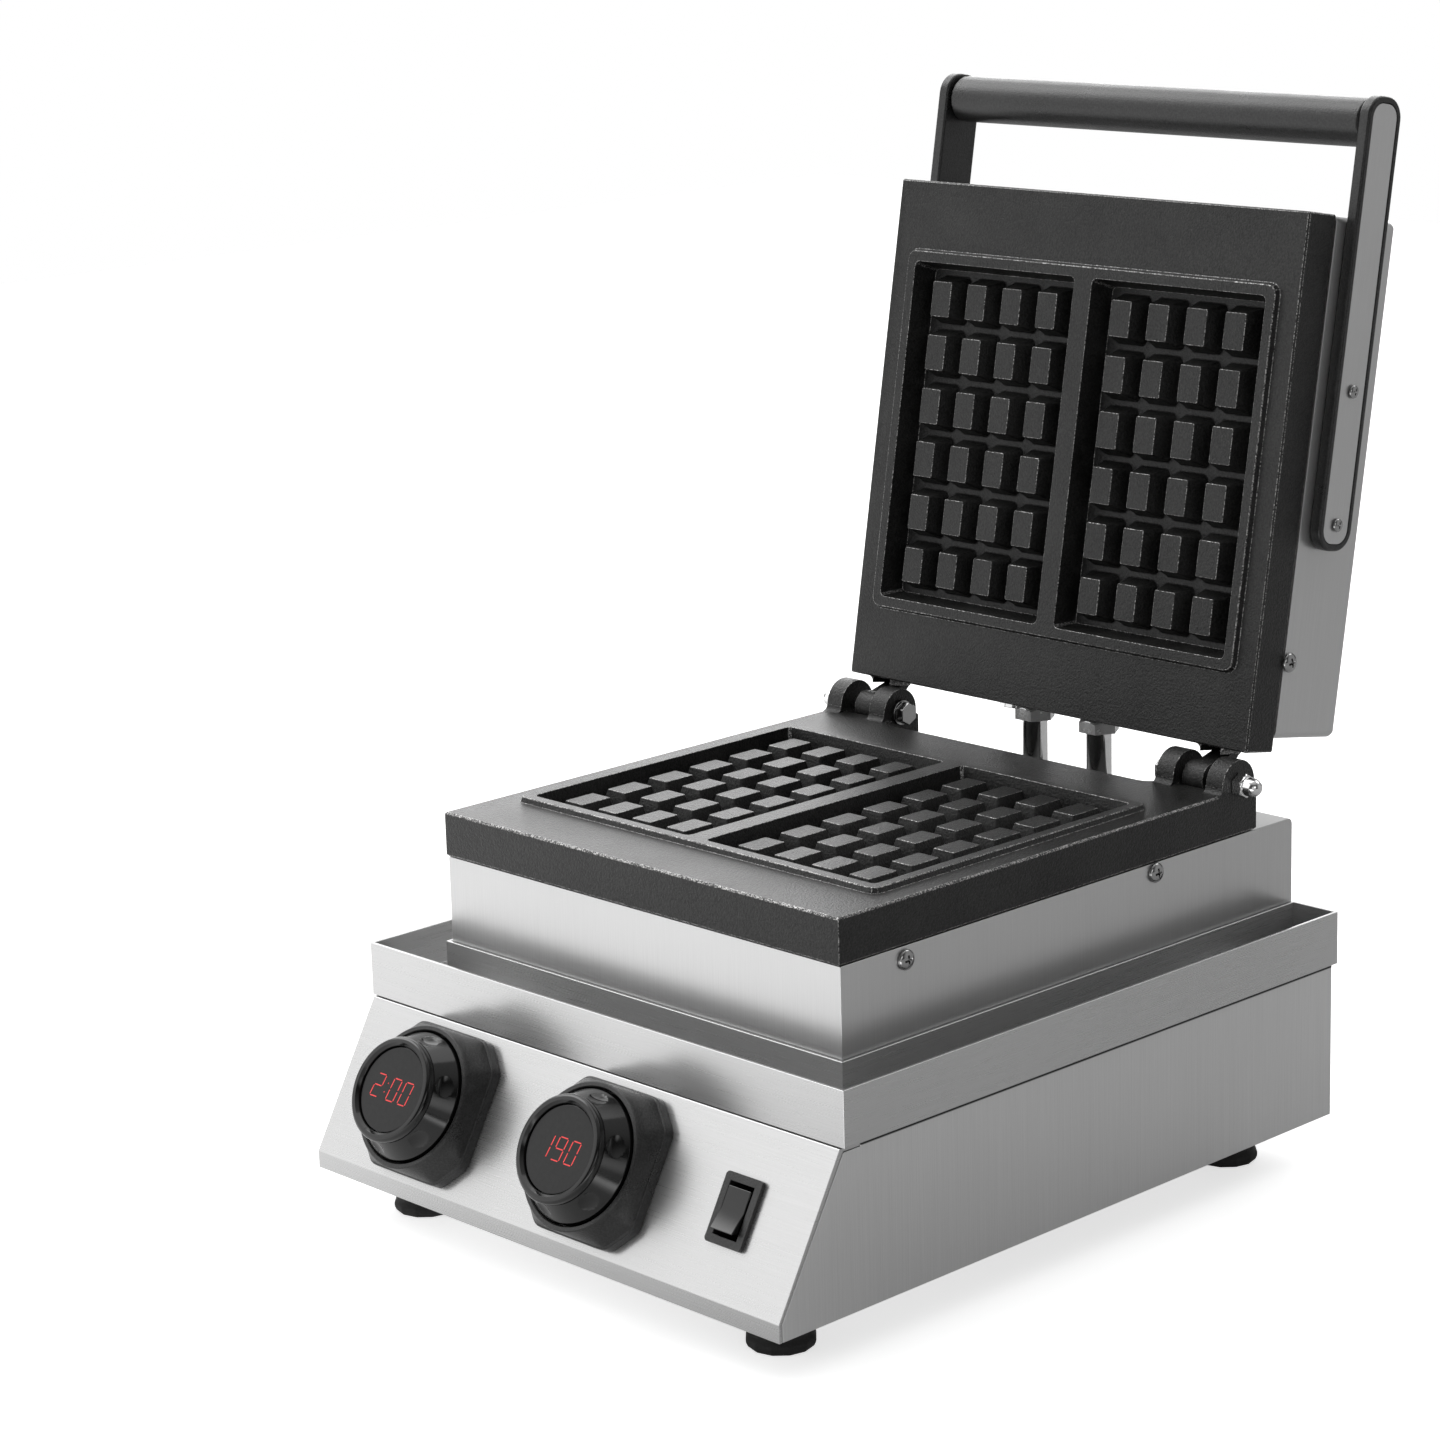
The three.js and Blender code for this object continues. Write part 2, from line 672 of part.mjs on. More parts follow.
// Body: two sides and a back, under a deck that carries the housing and the tray
function bodyShell() {
  const top = trayTopZ - gutterDepth - sheet - seatGap
  const half = bodyHalfWidth
  const inFront = sheet / Math.cos(panelAngle) + seatGap
  const kinkZ = bodyBottomZ + bodyLip
  const topFront = panelTopY + panelFlange
  const side = polygon([
    [topFront, top],
    [topFront, panelTopZ - sheet - seatGap],
    [panelTopY + inFront, panelTopZ - sheet - seatGap],
    [panelBottomY + inFront, kinkZ],
    [panelBottomY + inFront, bodyBottomZ],
    [bodyBack, bodyBottomZ],
    [bodyBack, top]
  ])
  const outside = swept(side, -half, half)
  const inner = half - sheet
  const room = block(
    -inner, inner, panelBottomY - overrun, bodyBack - sheet, bodyBottomZ - overrun, top - sheet
  )
  const clear = housingWidth / 2 - deckLedge
  const well = block(
    -clear, clear, housingFront + deckLedge, housingBack - deckLedge, top - 2 * sheet, top + overrun
  )
  const shell = cut(
    outside,
    room,
    well,
    rodY(glandRadius + boltFit, bodyBack - sheet - overrun, bodyBack + overrun, mainsGlandX, mainsGlandZ()),
    rodY(glandRadius + boltFit, bodyBack - sheet - overrun, bodyBack + overrun, lidGlandX, bodyGlandZ())
  )
  return piece('body_shell', shell, steel())
}

function mainsGlandZ() {
  return bodyBottomZ + glandNutRadius + bodyLip + sheet
}

function bodyGlandZ() {
  return trayBottomZ - bodyGlandDrop
}

// Control panel: bent from one sheet, with a flange at the top and a lip at the bottom
function panelFrame() {
  const frame = new THREE.Matrix4().makeRotationX(Math.PI / 2 - panelAngle)
  return frame.setPosition(0, panelTopY, panelTopZ)
}

function controlPanel() {
  const depth = sheet / Math.cos(panelAngle)
  const kinkZ = bodyBottomZ + bodyLip
  const profile = polygon([
    [panelTopY, panelTopZ],
    [panelTopY + panelFlange - seatGap, panelTopZ],
    [panelTopY + panelFlange - seatGap, panelTopZ - sheet],
    [panelTopY + depth, panelTopZ - sheet],
    [panelBottomY + depth, kinkZ],
    [panelBottomY + depth, bodyBottomZ],
    [panelBottomY, bodyBottomZ],
    [panelBottomY, kinkZ]
  ])
  const sheetMetal = swept(profile, -bodyHalfWidth, bodyHalfWidth)
  const cutters = []
  for (const x of [leftKnobX, rightKnobX]) {
    cutters.push(rodZ(displayStem + slideGap, -overrun * 2, overrun, x, -knobDown, 16))
  }
  const wide = switchWidth / 2 - switchFlange
  const tall = switchHeight / 2 - switchFlange
  cutters.push(block(
    switchX - wide, switchX + wide, -knobDown - tall, -knobDown + tall, -overrun * 2, overrun
  ))
  const placed = cutters.map((cutter) => cutter.applyMatrix4(panelFrame()))
  return piece('control_panel', cut(sheetMetal, ...placed), steel())
}

// Bottom plate with its edge turned up inside the body
function bottomPlate() {
  const half = bodyHalfWidth - sheet - seatGap
  const front = panelBottomY + sheet / Math.cos(panelAngle) + seatGap
  const back = bodyBack - sheet - seatGap
  const outside = block(-half, half, front, back, bodyBottomZ, bodyBottomZ + bodyLip)
  const room = block(
    -half + sheet, half - sheet, front + sheet, back - sheet,
    bodyBottomZ + sheet, bodyBottomZ + bodyLip + overrun
  )
  const holes = footPlaces().map(([x, y]) => {
    return rodZ(footScrewRadius + boltFit, bodyBottomZ - overrun, bodyBottomZ + bodyLip, x, y, 12)
  })
  return piece('bottom_plate', cut(outside, room, ...holes), steel())
}

function footPlaces() {
  const x = bodyHalfWidth - footInset
  const front = panelBottomY + footInset
  const back = bodyBack - footInset
  return [[-x, front], [x, front], [-x, back], [x, back]]
}

function foot(index, name) {
  const [x, y] = footPlaces()[index]
  const top = footHeight - seatGap
  const edge = footSole - footRadius
  const profile = [
    [0, 0],
    [footSole - edge / 2, 0],
    [footSole, edge],
    [footSole, 2 * edge],
    [footRadius, 3 * edge],
    [footRadius, top],
    [footScrewRadius, top],
    [footScrewRadius, footHeight + sheet + footStud],
    [0, footHeight + sheet + footStud]
  ]
  const geometry = turned(profile, 12).translate(x, y, tableZ)
  return piece(name, geometry, rubber())
}

// Lid cover, closed position: walls and a back, with its rear wall pierced for the wiring
function lidCover() {
  const half = plateWidth / 2
  const back = plateDepth - coverSetBack
  const z0 = upperBackZ + seatGap
  const outline = roundedRectangle(-half, half, 0, back, coverCorner)
  const outside = raised(outline, z0 - coverBend, coverTopZ, coverBend)
  const trim = block(-half - overrun, half + overrun, -overrun, back + overrun, z0 - 2 * coverBend, z0)
  const room = block(
    -half + sheet, half - sheet, sheet, back - sheet, z0 - overrun, coverTopZ - sheet - coverBend / 4
  )
  const holes = [
    rodY(
      glandRadius + boltFit, back - sheet - overrun, back + overrun,
      lidGlandX, upperBackZ + lidGlandRise
    )
  ]
  for (const [y, z] of [[coverScrewY, upperBackZ + coverScrewRise], ...handleScrewPlaces()]) {
    holes.push(rodX(panShankRadius + boltFit, -half - overrun, half + overrun, y, z, 8))
  }
  return piece('lid_cover', cut(outside, trim, room, ...holes), steel())
}

// Handle: an arm on each side of the cover and a grip across the front
function armCentreZ() {
  return upperBackZ + armBelow + armHeight / 2
}

function handleScrewPlaces() {
  return [armRear - armHeight / 2, armRear - 3 * armHeight].map((y) => [y, armCentreZ()])
}

function handleScrewHoles(x0, x1) {
  const radius = panShankRadius + boltFit
  return handleScrewPlaces().map(([y, z]) => rodX(radius, x0 - overrun, x1 + overrun, y, z, 8))
}

function armOutline(inset) {
  const z = armCentreZ()
  const half = armHeight / 2 - inset
  const radius = armCorner - inset
  return roundedRectangle(-armReach + inset, armRear - inset, z - half, z + half, radius)
}

function handleArm(side, name) {
  const inner = plateWidth / 2 + seatGap
  const outer = inner + armThickness
  const [x0, x1] = side > 0 ? [inner, outer] : [-outer, -inner]
  const floor = outer - inlayThickness
  const recess = side > 0 ? [floor, outer + overrun] : [-outer - overrun, -floor]
  const pocket = swept(armOutline(rim), recess[0], recess[1], 0, 4)
  const arm = cut(swept(armOutline(0), x0, x1, armEdge, 4), pocket, ...handleScrewHoles(x0, x1))
  return piece(name, arm, blackPlastic())
}

function armInlay(side, name) {
  const outer = plateWidth / 2 + seatGap + armThickness
  const outside = outer - seatGap
  const inside = outer - inlayThickness + seatGap / 2
  const [x0, x1] = side > 0 ? [inside, outside] : [-outside, -inside]
  const plate = swept(armOutline(rim + seatGap), x0, x1, 0, 4)
  return piece(name, cut(plate, ...handleScrewHoles(x0, x1)), steel())
}

function handleGrip() {
  const half = plateWidth / 2
  const y = -armReach + armHeight / 2
  const profile = [
    [0, -half],
    [gripRadius - gripEdge, -half],
    [gripRadius, -half + gripEdge],
    [gripRadius, half - gripEdge],
    [gripRadius - gripEdge, half],
    [0, half]
  ]
  const grip = turned(profile, 20).rotateY(Math.PI / 2).translate(0, y, armCentreZ())
  return piece('handle_grip', grip, blackPlastic())
}

function handleScrew(side, index, name) {
  const [y, z] = handleScrewPlaces()[index]
  const face = plateWidth / 2 + armThickness + 2 * seatGap
  const profile = [
    [0, -armThickness],
    [panShankRadius, -armThickness],
    [panShankRadius, 0],
    [handleScrewRadius, 0],
    [handleScrewRadius, handleScrewHeight / 2],
    [handleScrewRadius / 2, handleScrewHeight],
    [0, handleScrewHeight]
  ]
  const screw = turned(profile, 12).rotateY(side * Math.PI / 2).translate(side * face, y, z)
  return piece(name, screw, screwSteel())
}

// Pan head screw in the side of the housing or the cover
function panScrew(side, y, z, wallX, name) {
  const profile = [
    [0, -panShank],
    [panShankRadius, -panShank],
    [panShankRadius, 0],
    [panHeadRadius, 0],
    [panHeadRadius, panHeadHeight / 3],
    [panHeadRadius * Math.cos(Math.PI / 4), panHeadHeight],
    [0, panHeadHeight]
  ]
  const screw = turned(profile, 12).rotateY(side * Math.PI / 2).translate(side * (wallX + seatGap), y, z)
  return piece(name, screw, screwSteel())
}

// Lid stops behind the plate: a hexagon bolt through a spacer sleeve
function stopBolt(side, name) {
  const y = hingeY + stopBehindHinge
  const headBottom = stopTopZ - stopHeadHeight
  const under = -lowerPlateThickness - sheet - overrun * 2
  const bolt = joined(
    rodZ(stopAcross / Math.cos(Math.PI / 6), headBottom, stopTopZ, side * stopX, y, 6),
    rodZ(boltRadius, under, headBottom + overrun, side * stopX, y, 16)
  )
  return piece(name, bolt, chrome())
}

function stopSleeve(side, name) {
  const y = hingeY + stopBehindHinge
  const bottom = -lowerPlateThickness
  const top = stopTopZ - stopHeadHeight - seatGap
  const tube = cut(
    rodZ(stopSleeveRadius, bottom, top, side * stopX, y, 24),
    rodZ(boltRadius + boltFit, bottom - overrun, top + overrun, side * stopX, y, 16)
  )
  return piece(name, tube, chrome())
}

// Heating element under a cooking plate: one tube folded into straight legs
function heaterTube(z) {
  const span = plateWidth - 2 * heaterInset
  const pitch = span / (heaterLegs - 1)
  const bend = pitch / 2
  const low = heaterInset + bend
  const high = plateDepth - heaterInset - bend
  const rings = [heaterRing(-span / 2, low, z, 0)]
  for (let leg = 0; leg < heaterLegs; leg++) {
    const x = -span / 2 + leg * pitch
    const rising = leg % 2 === 0
    if (leg === heaterLegs - 1) {
      rings.push(heaterRing(x, rising ? high : low, z, rising ? 0 : Math.PI))
      continue
    }
    for (let step = 0; step <= heaterBendSteps; step++) {
      const turn = step / heaterBendSteps * Math.PI
      const px = x + bend - bend * Math.cos(turn)
      const py = rising ? high + bend * Math.sin(turn) : low - bend * Math.sin(turn)
      rings.push(heaterRing(px, py, z, rising ? -turn : Math.PI + turn))
    }
  }
  return loft(rings)
}

function heaterRing(x, y, z, heading) {
  const ring = []
  for (let i = 0; i < heaterSides; i++) {
    const angle = i / heaterSides * 2 * Math.PI
    const side = heaterRadius * Math.cos(angle)
    const rise = heaterRadius * Math.sin(angle)
    ring.push(new THREE.Vector3(x + side * Math.cos(heading), y + side * Math.sin(heading), z - rise))
  }
  return ring
}

function clampPlate(z0) {
  const half = plateWidth / 2 - clampInset
  const outline = roundedRectangle(-half, half, clampInset, plateDepth - clampInset, clampInset / 2)
  return raised(outline, z0, z0 + clampThickness)
}

function insulationMat(z0) {
  const half = plateWidth / 2 - insulationInset
  const back = plateDepth - insulationInset
  const outline = roundedRectangle(-half, half, insulationInset, back, clampInset / 3)
  return raised(outline, z0, z0 + insulationThickness)
}

function probe(z) {
  const back = plateDepth - clampInset
  return rodY(probeRadius, back - probeLength, back, 0, z, 16)
}

function lowerHeating() {
  const heaterZ = -lowerPlateThickness - seatGap - heaterRadius
  const clampTop = heaterZ - heaterRadius - seatGap
  const clamp = clampPlate(clampTop - clampThickness)
  const mat = insulationMat(clampTop - clampThickness - seatGap - insulationThickness)
  const probeZ = -lowerPlateThickness - seatGap - probeRadius
  return [
    piece('lower_heater', heaterTube(heaterZ), heaterSteel()),
    piece('lower_heater_clamp', clamp, steel()),
    piece('lower_insulation', mat, mineralFibre()),
    piece('lower_temperature_probe', probe(probeZ), steel())
  ]
}

function upperHeating() {
  const heaterZ = upperBackZ + seatGap + heaterRadius
  const clampBottom = heaterZ + heaterRadius + seatGap
  const clamp = clampPlate(clampBottom)
  const mat = insulationMat(clampBottom + clampThickness + seatGap)
  const probeZ = upperBackZ + seatGap + probeRadius
  return [
    piece('upper_heater', heaterTube(heaterZ), heaterSteel()),
    piece('upper_heater_clamp', clamp, steel()),
    piece('upper_insulation', mat, mineralFibre()),
    piece('upper_temperature_probe', probe(probeZ), steel())
  ]
}

// Control board on four posts behind the panel, and a mains terminal block at the back
function controlBoard() {
  const y0 = panelBottomY + boardFromFront
  const z0 = bodyBottomZ + sheet + seatGap
  const top = z0 + boardPost
  const parts = [block(-boardWidth / 2, boardWidth / 2, y0, y0 + boardDepth, top, top + boardThickness)]
  for (const x of [-1, 1]) {
    for (const y of [y0 + boardInset, y0 + boardDepth - boardInset]) {
      const px = x * (boardWidth / 2 - boardInset)
      parts.push(rodZ(boardPostRadius, z0, top + boardThickness / 2, px, y, 12))
    }
  }
  const relay = boardDepth / 3
  for (const x of [-relay, relay]) {
    const low = top + boardThickness / 2
    parts.push(block(x - relay / 2, x + relay / 2, y0 + relay, y0 + 2 * relay, low, low + componentHeight))
  }
  return piece('control_board', joined(...parts), circuitBoard())
}

function terminalBlock() {
  const y1 = bodyBack - footInset - footRadius
  const z0 = bodyBottomZ + sheet + seatGap
  const x = mainsGlandX
  const half = terminalWidth / 2
  const body = block(x - half, x + half, y1 - terminalDepth, y1, z0, z0 + terminalHeight)
  const way = terminalWidth / 3
  const cuts = []
  for (const step of [-1, 0, 1]) {
    const wayX = x + step * way
    const top = z0 + terminalHeight
    cuts.push(rodY(way / 4, y1 - terminalDepth / 3, y1 + overrun, wayX, z0 + terminalHeight / 3, 8))
    cuts.push(rodZ(way / 5, top - terminalHeight / 2, top + overrun, wayX, y1 - terminalDepth / 2, 8))
  }
  return piece('terminal_block', cut(body, ...cuts), ceramic())
}

// A gland in a wall: a threaded body through the hole, a flange nut outside and a bore
function glandForm() {
  const inside = -sheet - glandNutLength
  const profile = [
    [glandBore, inside],
    [glandRadius, inside],
    [glandRadius, seatGap],
    [glandNutRadius, seatGap],
    [glandNutRadius, glandNutLength],
    [glandRadius, glandNutLength + overrun],
    [glandBore + overrun, glandLength],
    [glandBore, glandLength],
    [glandBore, inside]
  ]
  return turned(profile, 12)
}

function mainsGland() {
  const form = glandForm().rotateX(-Math.PI / 2).translate(mainsGlandX, bodyBack, mainsGlandZ())
  return piece('mains_gland', form, blackPlastic())
}

function bodyWiringGland() {
  const form = glandForm().rotateX(-Math.PI / 2).translate(lidGlandX, bodyBack, bodyGlandZ())
  return piece('body_wiring_gland', form, chrome())
}

function lidWiringGland() {
  const back = plateDepth - coverSetBack
  const form = glandForm().rotateX(-Math.PI / 2).translate(lidGlandX, back, upperBackZ + lidGlandRise)
  return piece('lid_wiring_gland', form, chrome())
}

// Controls, in the panel's own frame: X right, Y up the slope, Z out of the panel
function octagonRing(width, height, chamfer, x, y, z, count) {
  const half = [width / 2, height / 2]
  const corner = half[0] + half[1] - chamfer
  const ring = []
  for (let i = 0; i < count; i++) {
    const angle = (i + 0.5) / count * 2 * Math.PI
    const c = Math.abs(Math.cos(angle))
    const s = Math.abs(Math.sin(angle))
    const reach = Math.min(half[0] / c, half[1] / s, corner / (c + s))
    ring.push(new THREE.Vector3(x + reach * Math.cos(angle), y + reach * Math.sin(angle), z))
  }
  return ring
}

function circleRing(radius, x, y, z, count) {
  const ring = []
  for (let i = 0; i < count; i++) {
    const angle = (i + 0.5) / count * 2 * Math.PI
    ring.push(new THREE.Vector3(x + radius * Math.cos(angle), y + radius * Math.sin(angle), z))
  }
  return ring
}

function knobBezel(x, name) {
  const count = 32
  const y = -knobDown
  const shrink = overrun
  const body = loft([
    octagonRing(bezelWidth, bezelHeight, bezelChamfer, x, y, seatGap, count),
    octagonRing(bezelWidth, bezelHeight, bezelChamfer, x, y, bezelBase, count),
    octagonRing(
      bezelWidth - shrink, bezelHeight - shrink, bezelChamfer,
      x, y, bezelBase + shrink / 2, count
    ),
    circleRing(bezelTopRadius, x, y, bezelBase + bezelRise, count)
  ])
  const mouth = bezelBase + bezelRise
  const well = rodZ(bezelBore, mouth - bezelRecess, mouth + overrun, x, y, 24)
  const bore = rodZ(displayStem + slideGap, -overrun, bezelBase + bezelRise, x, y, 16)
  return piece(name, cut(body, well, bore), blackPlastic())
}

function knob(x, name) {
  const rimTop = bezelBase + bezelRise
  const base = rimTop - bezelRecess + seatGap
  const ringFoot = knobLength - knobRingHeight
  const display = knobLength - displaySetBack - displayThickness - slideGap
  const profile = [
    [displayStem + 2 * stemFit, base],
    [knobSkirtRadius, base],
    [knobSkirtRadius, rimTop + knobStep],
    [knobNeckRadius, rimTop + knobStep + knobShoulder],
    [knobNeckRadius, ringFoot - knobStep],
    [knobRingRadius, ringFoot],
    [knobRingRadius, knobLength - knobStep],
    [knobRingRadius - knobStep, knobLength],
    [knobRingBore + knobStep, knobLength],
    [knobRingBore, knobLength - knobStep],
    [knobRingBore, display],
    [displayStem + 2 * stemFit, display],
    [displayStem + 2 * stemFit, base]
  ]
  const hollows = []
  for (let i = 0; i < knobScallops; i++) {
    const hollow = new THREE.SphereGeometry(1, 12, 8).scale(...scallopSize)
    hollow.translate(scallopReach, 0, scallopHeight)
    hollows.push(hollow.rotateZ((i + scallopTurn) / knobScallops * 2 * Math.PI))
  }
  const form = cut(turned(profile, 24), ...hollows).translate(x, -knobDown, 0)
  return piece(name, form, glossPlastic())
}

function knobDisplay(x, name) {
  const front = knobLength - displaySetBack
  const profile = [
    [0, -overrun * 3],
    [displayStem, -overrun * 3],
    [displayStem, front - displayThickness],
    [displayRadius, front - displayThickness],
    [displayRadius, front - overrun / 4],
    [displayRadius - overrun / 4, front],
    [0, front]
  ]
  return piece(name, turned(profile, 20).translate(x, -knobDown, 0), displayGlass())
}

function switchFrame() {
  const wide = switchWidth / 2
  const tall = switchHeight / 2
  const y = -knobDown
  const flange = raised(
    roundedRectangle(switchX - wide, switchX + wide, y - tall, y + tall, overrun),
    seatGap, switchFlangeHeight
  )
  const neckWide = wide - switchFlange - boltFit
  const neckTall = tall - switchFlange - boltFit
  const neck = block(
    switchX - neckWide, switchX + neckWide, y - neckTall, y + neckTall, -switchDepth, switchFlangeHeight / 2
  )
  const well = block(
    switchX - neckWide + sheet, switchX + neckWide - sheet,
    y - neckTall + sheet, y + neckTall - sheet,
    -switchDepth + sheet, switchFlangeHeight + overrun
  )
  return piece('switch_frame', cut(joined(flange, neck), well), blackPlastic())
}

// Rocker: two faces at an angle, the upper end pressed in
function powerRocker() {
  const neckWide = switchWidth / 2 - switchFlange - boltFit - sheet - seatGap
  const reach = switchHeight / 2 - switchFlange - boltFit - sheet - slideGap * 3
  const low = -switchDepth / 2
  const tilt = Math.tan(rockerTilt)
  const shape = polygon([
    [-reach + rim, low],
    [reach - rim, low],
    [reach, rockerProud - reach * tilt],
    [0, rockerProud - reach * tilt],
    [-reach, rockerProud + reach * tilt]
  ])
  const form = swept(shape, -neckWide, neckWide).translate(switchX, -knobDown, 0)
  return piece('power_rocker', form, glossPlastic())
}

// Assembly
function lidPieces() {
  const screwZ = upperBackZ + coverScrewRise
  const wall = plateWidth / 2
  return [
    upperPlate(),
    lidCover(),
    ...upperHeating(),
    handleArm(-1, 'handle_arm_left'),
    handleArm(1, 'handle_arm_right'),
    armInlay(-1, 'arm_inlay_left'),
    armInlay(1, 'arm_inlay_right'),
    handleGrip(),
    handleScrew(-1, 0, 'handle_screw_left_rear'),
    handleScrew(-1, 1, 'handle_screw_left_front'),
    handleScrew(1, 0, 'handle_screw_right_rear'),
    handleScrew(1, 1, 'handle_screw_right_front'),
    panScrew(-1, coverScrewY, screwZ, wall, 'cover_screw_left'),
    panScrew(1, coverScrewY, screwZ, wall, 'cover_screw_right'),
    lidWiringGland()
  ]
}

function basePieces() {
  const wall = housingWidth / 2
  const screws = []
  for (const [side, sideName] of [[-1, 'left'], [1, 'right']]) {
    const ends = ['front', 'rear']
    housingScrewPlaces().forEach(([y, drop], index) => {
      const name = `housing_screw_${sideName}_${ends[index]}`
      screws.push(panScrew(side, y, -lowerPlateThickness - drop, wall, name))
    })
    screws.push(hingeBolt(side, `hinge_bolt_${sideName}`))
    screws.push(acornNut(side, `acorn_nut_${sideName}`))
    screws.push(stopBolt(side, `stop_bolt_${sideName}`))
    screws.push(stopSleeve(side, `stop_sleeve_${sideName}`))
  }
  const footNames = ['foot_front_left', 'foot_front_right', 'foot_rear_left', 'foot_rear_right']
  return [
    lowerPlate(),
    plateHousing(),
    dripTray(),
    bodyShell(),
    controlPanel(),
    bottomPlate(),
    ...footNames.map((name, index) => foot(index, name)),
    ...lowerHeating(),
    controlBoard(),
    terminalBlock(),
    mainsGland(),
    bodyWiringGland(),
    ...screws
  ]
}

function panelPieces() {
  return [
    knobBezel(leftKnobX, 'timer_bezel'),
    knobBezel(rightKnobX, 'temperature_bezel'),
    knob(leftKnobX, 'timer_knob'),
    knob(rightKnobX, 'temperature_knob'),
    knobDisplay(leftKnobX, 'timer_display'),
    knobDisplay(rightKnobX, 'temperature_display'),
    switchFrame(),
    powerRocker()
  ]
}

const base = new THREE.Group()
base.add(...basePieces())

const panel = new THREE.Group()
panel.applyMatrix4(panelFrame())
panel.add(...panelPieces())

const lid = new THREE.Group()
lid.position.set(0, hingeY, hingeZ)
lid.rotation.x = -openAngle
for (const mesh of lidPieces()) {
  mesh.geometry.translate(0, -hingeY, -hingeZ)
  lid.add(mesh)
}

const machine = new THREE.Group()
machine.add(base, panel, lid)
machine.updateMatrixWorld(true)
const outline = new THREE.Box3().setFromObject(machine, true)
machine.position.set(0, -(outline.min.y + outline.max.y) / 2, -tableZ)

const waffleMaker = new THREE.Group()
waffleMaker.add(machine)
waffleMaker.updateMatrixWorld(true)

export default waffleMaker
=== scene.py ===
# %% [markdown]
# # A countertop waffle maker with its lid open
#
# The machine has two heavy moulded castings on a hinge, a folded stainless housing, a drip tray
# with a gutter, and a sloping panel with two knobs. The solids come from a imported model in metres,
# so every piece here is made where that model says, and only its look is added.

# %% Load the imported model
import json
import math

import bmesh
import bpy
from mathutils import Matrix, Vector


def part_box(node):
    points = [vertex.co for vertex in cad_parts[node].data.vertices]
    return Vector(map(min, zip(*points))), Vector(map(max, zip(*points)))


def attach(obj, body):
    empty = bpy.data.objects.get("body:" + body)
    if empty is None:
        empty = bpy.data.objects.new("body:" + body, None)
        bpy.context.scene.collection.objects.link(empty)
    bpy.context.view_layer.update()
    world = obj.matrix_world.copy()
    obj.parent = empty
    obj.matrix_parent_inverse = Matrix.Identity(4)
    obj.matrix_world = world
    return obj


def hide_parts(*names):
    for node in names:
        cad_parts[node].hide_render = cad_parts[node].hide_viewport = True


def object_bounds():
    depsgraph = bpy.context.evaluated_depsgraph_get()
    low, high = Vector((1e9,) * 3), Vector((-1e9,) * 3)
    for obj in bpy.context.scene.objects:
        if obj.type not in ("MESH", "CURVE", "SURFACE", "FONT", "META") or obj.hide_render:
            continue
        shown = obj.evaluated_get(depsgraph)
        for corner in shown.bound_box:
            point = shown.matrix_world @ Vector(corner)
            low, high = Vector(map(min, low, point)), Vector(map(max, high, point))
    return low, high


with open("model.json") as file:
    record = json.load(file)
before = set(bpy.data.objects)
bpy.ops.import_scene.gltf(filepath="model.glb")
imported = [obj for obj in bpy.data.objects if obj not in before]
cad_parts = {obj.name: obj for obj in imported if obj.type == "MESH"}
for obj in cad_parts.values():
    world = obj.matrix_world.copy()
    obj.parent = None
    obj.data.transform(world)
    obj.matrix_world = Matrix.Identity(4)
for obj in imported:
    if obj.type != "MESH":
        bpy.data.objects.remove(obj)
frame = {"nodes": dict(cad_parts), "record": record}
cad_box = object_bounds()
scene = bpy.context.scene
body_of_node = {
    node: body for body, nodes in frame["record"]["behaviour"]["bodies"].items() for node in nodes}
slot_of_node = {row["node"]: row["material_slot"] for row in frame["record"]["subparts"]}

# %% [markdown]
# ## The camera
#
# The view was worked out from the machine's own straight edges: the four corners of the lower
# casting, the moulds and the tray. The lens is long, so the edges hardly converge. Its place is
# written from the middle of the lower casting's front top edge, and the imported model's boxes say
# where that point is.

# %% Camera
MM = 0.001
KNUCKLE_ABOVE_RIM = 14.0 * MM
plate_low, plate_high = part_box("lower_plate")
casting_zero = Vector((0, plate_low[1], plate_high[2] - KNUCKLE_ABOVE_RIM))

CAMERA_FROM_ZERO = Vector((1166.47, -1050.20, 456.82)) * MM
CAMERA_PITCH = math.radians(14.154)
CAMERA_YAW = math.radians(-46.556)
CAMERA_ROLL = math.radians(-1.682)
LENS_MM = 96.136
SENSOR_MM = 36
NEAR_CLIP = 0.05


def link_object(name, data):
    """An object of the scene that shows the data."""
    made = bpy.data.objects.new(name, data)
    scene.collection.objects.link(made)
    return made


camera_data = bpy.data.cameras.new("camera")
camera_data.lens = LENS_MM
camera_data.sensor_width = SENSOR_MM
camera_data.clip_start = NEAR_CLIP
camera = link_object("camera", camera_data)
turned = Matrix.Rotation(-CAMERA_YAW, 4, "Z") @ Matrix.Rotation(math.pi / 2 - CAMERA_PITCH, 4, "X")
turned = turned @ Matrix.Rotation(CAMERA_ROLL, 4, "Z")
camera.matrix_world = Matrix.Translation(casting_zero + CAMERA_FROM_ZERO) @ turned
scene.camera = camera
print("camera at", [round(value, 3) for value in camera.location])

# %% [markdown]
# ## Node helpers
#
# A material is a small graph. These helpers add a node and fill its inputs, either with a value or
# with another node's socket, so that each finish below reads as a short recipe.

# %% Node helpers
def feed(tree, node, values):
    """Joins each input that is given a socket, and sets each that is given a plain value."""
    for key, value in values.items():
        if isinstance(value, bpy.types.NodeSocket):
            tree.links.new(value, node.inputs[key])
        else:
            node.inputs[key].default_value = value


def add_node(tree, kind, values=None, **settings):
    """One shader or geometry node, with its plain settings and its inputs."""
    node = tree.nodes.new(kind)
    for key, value in settings.items():
        setattr(node, key, value)
    feed(tree, node, values or {})
    return node


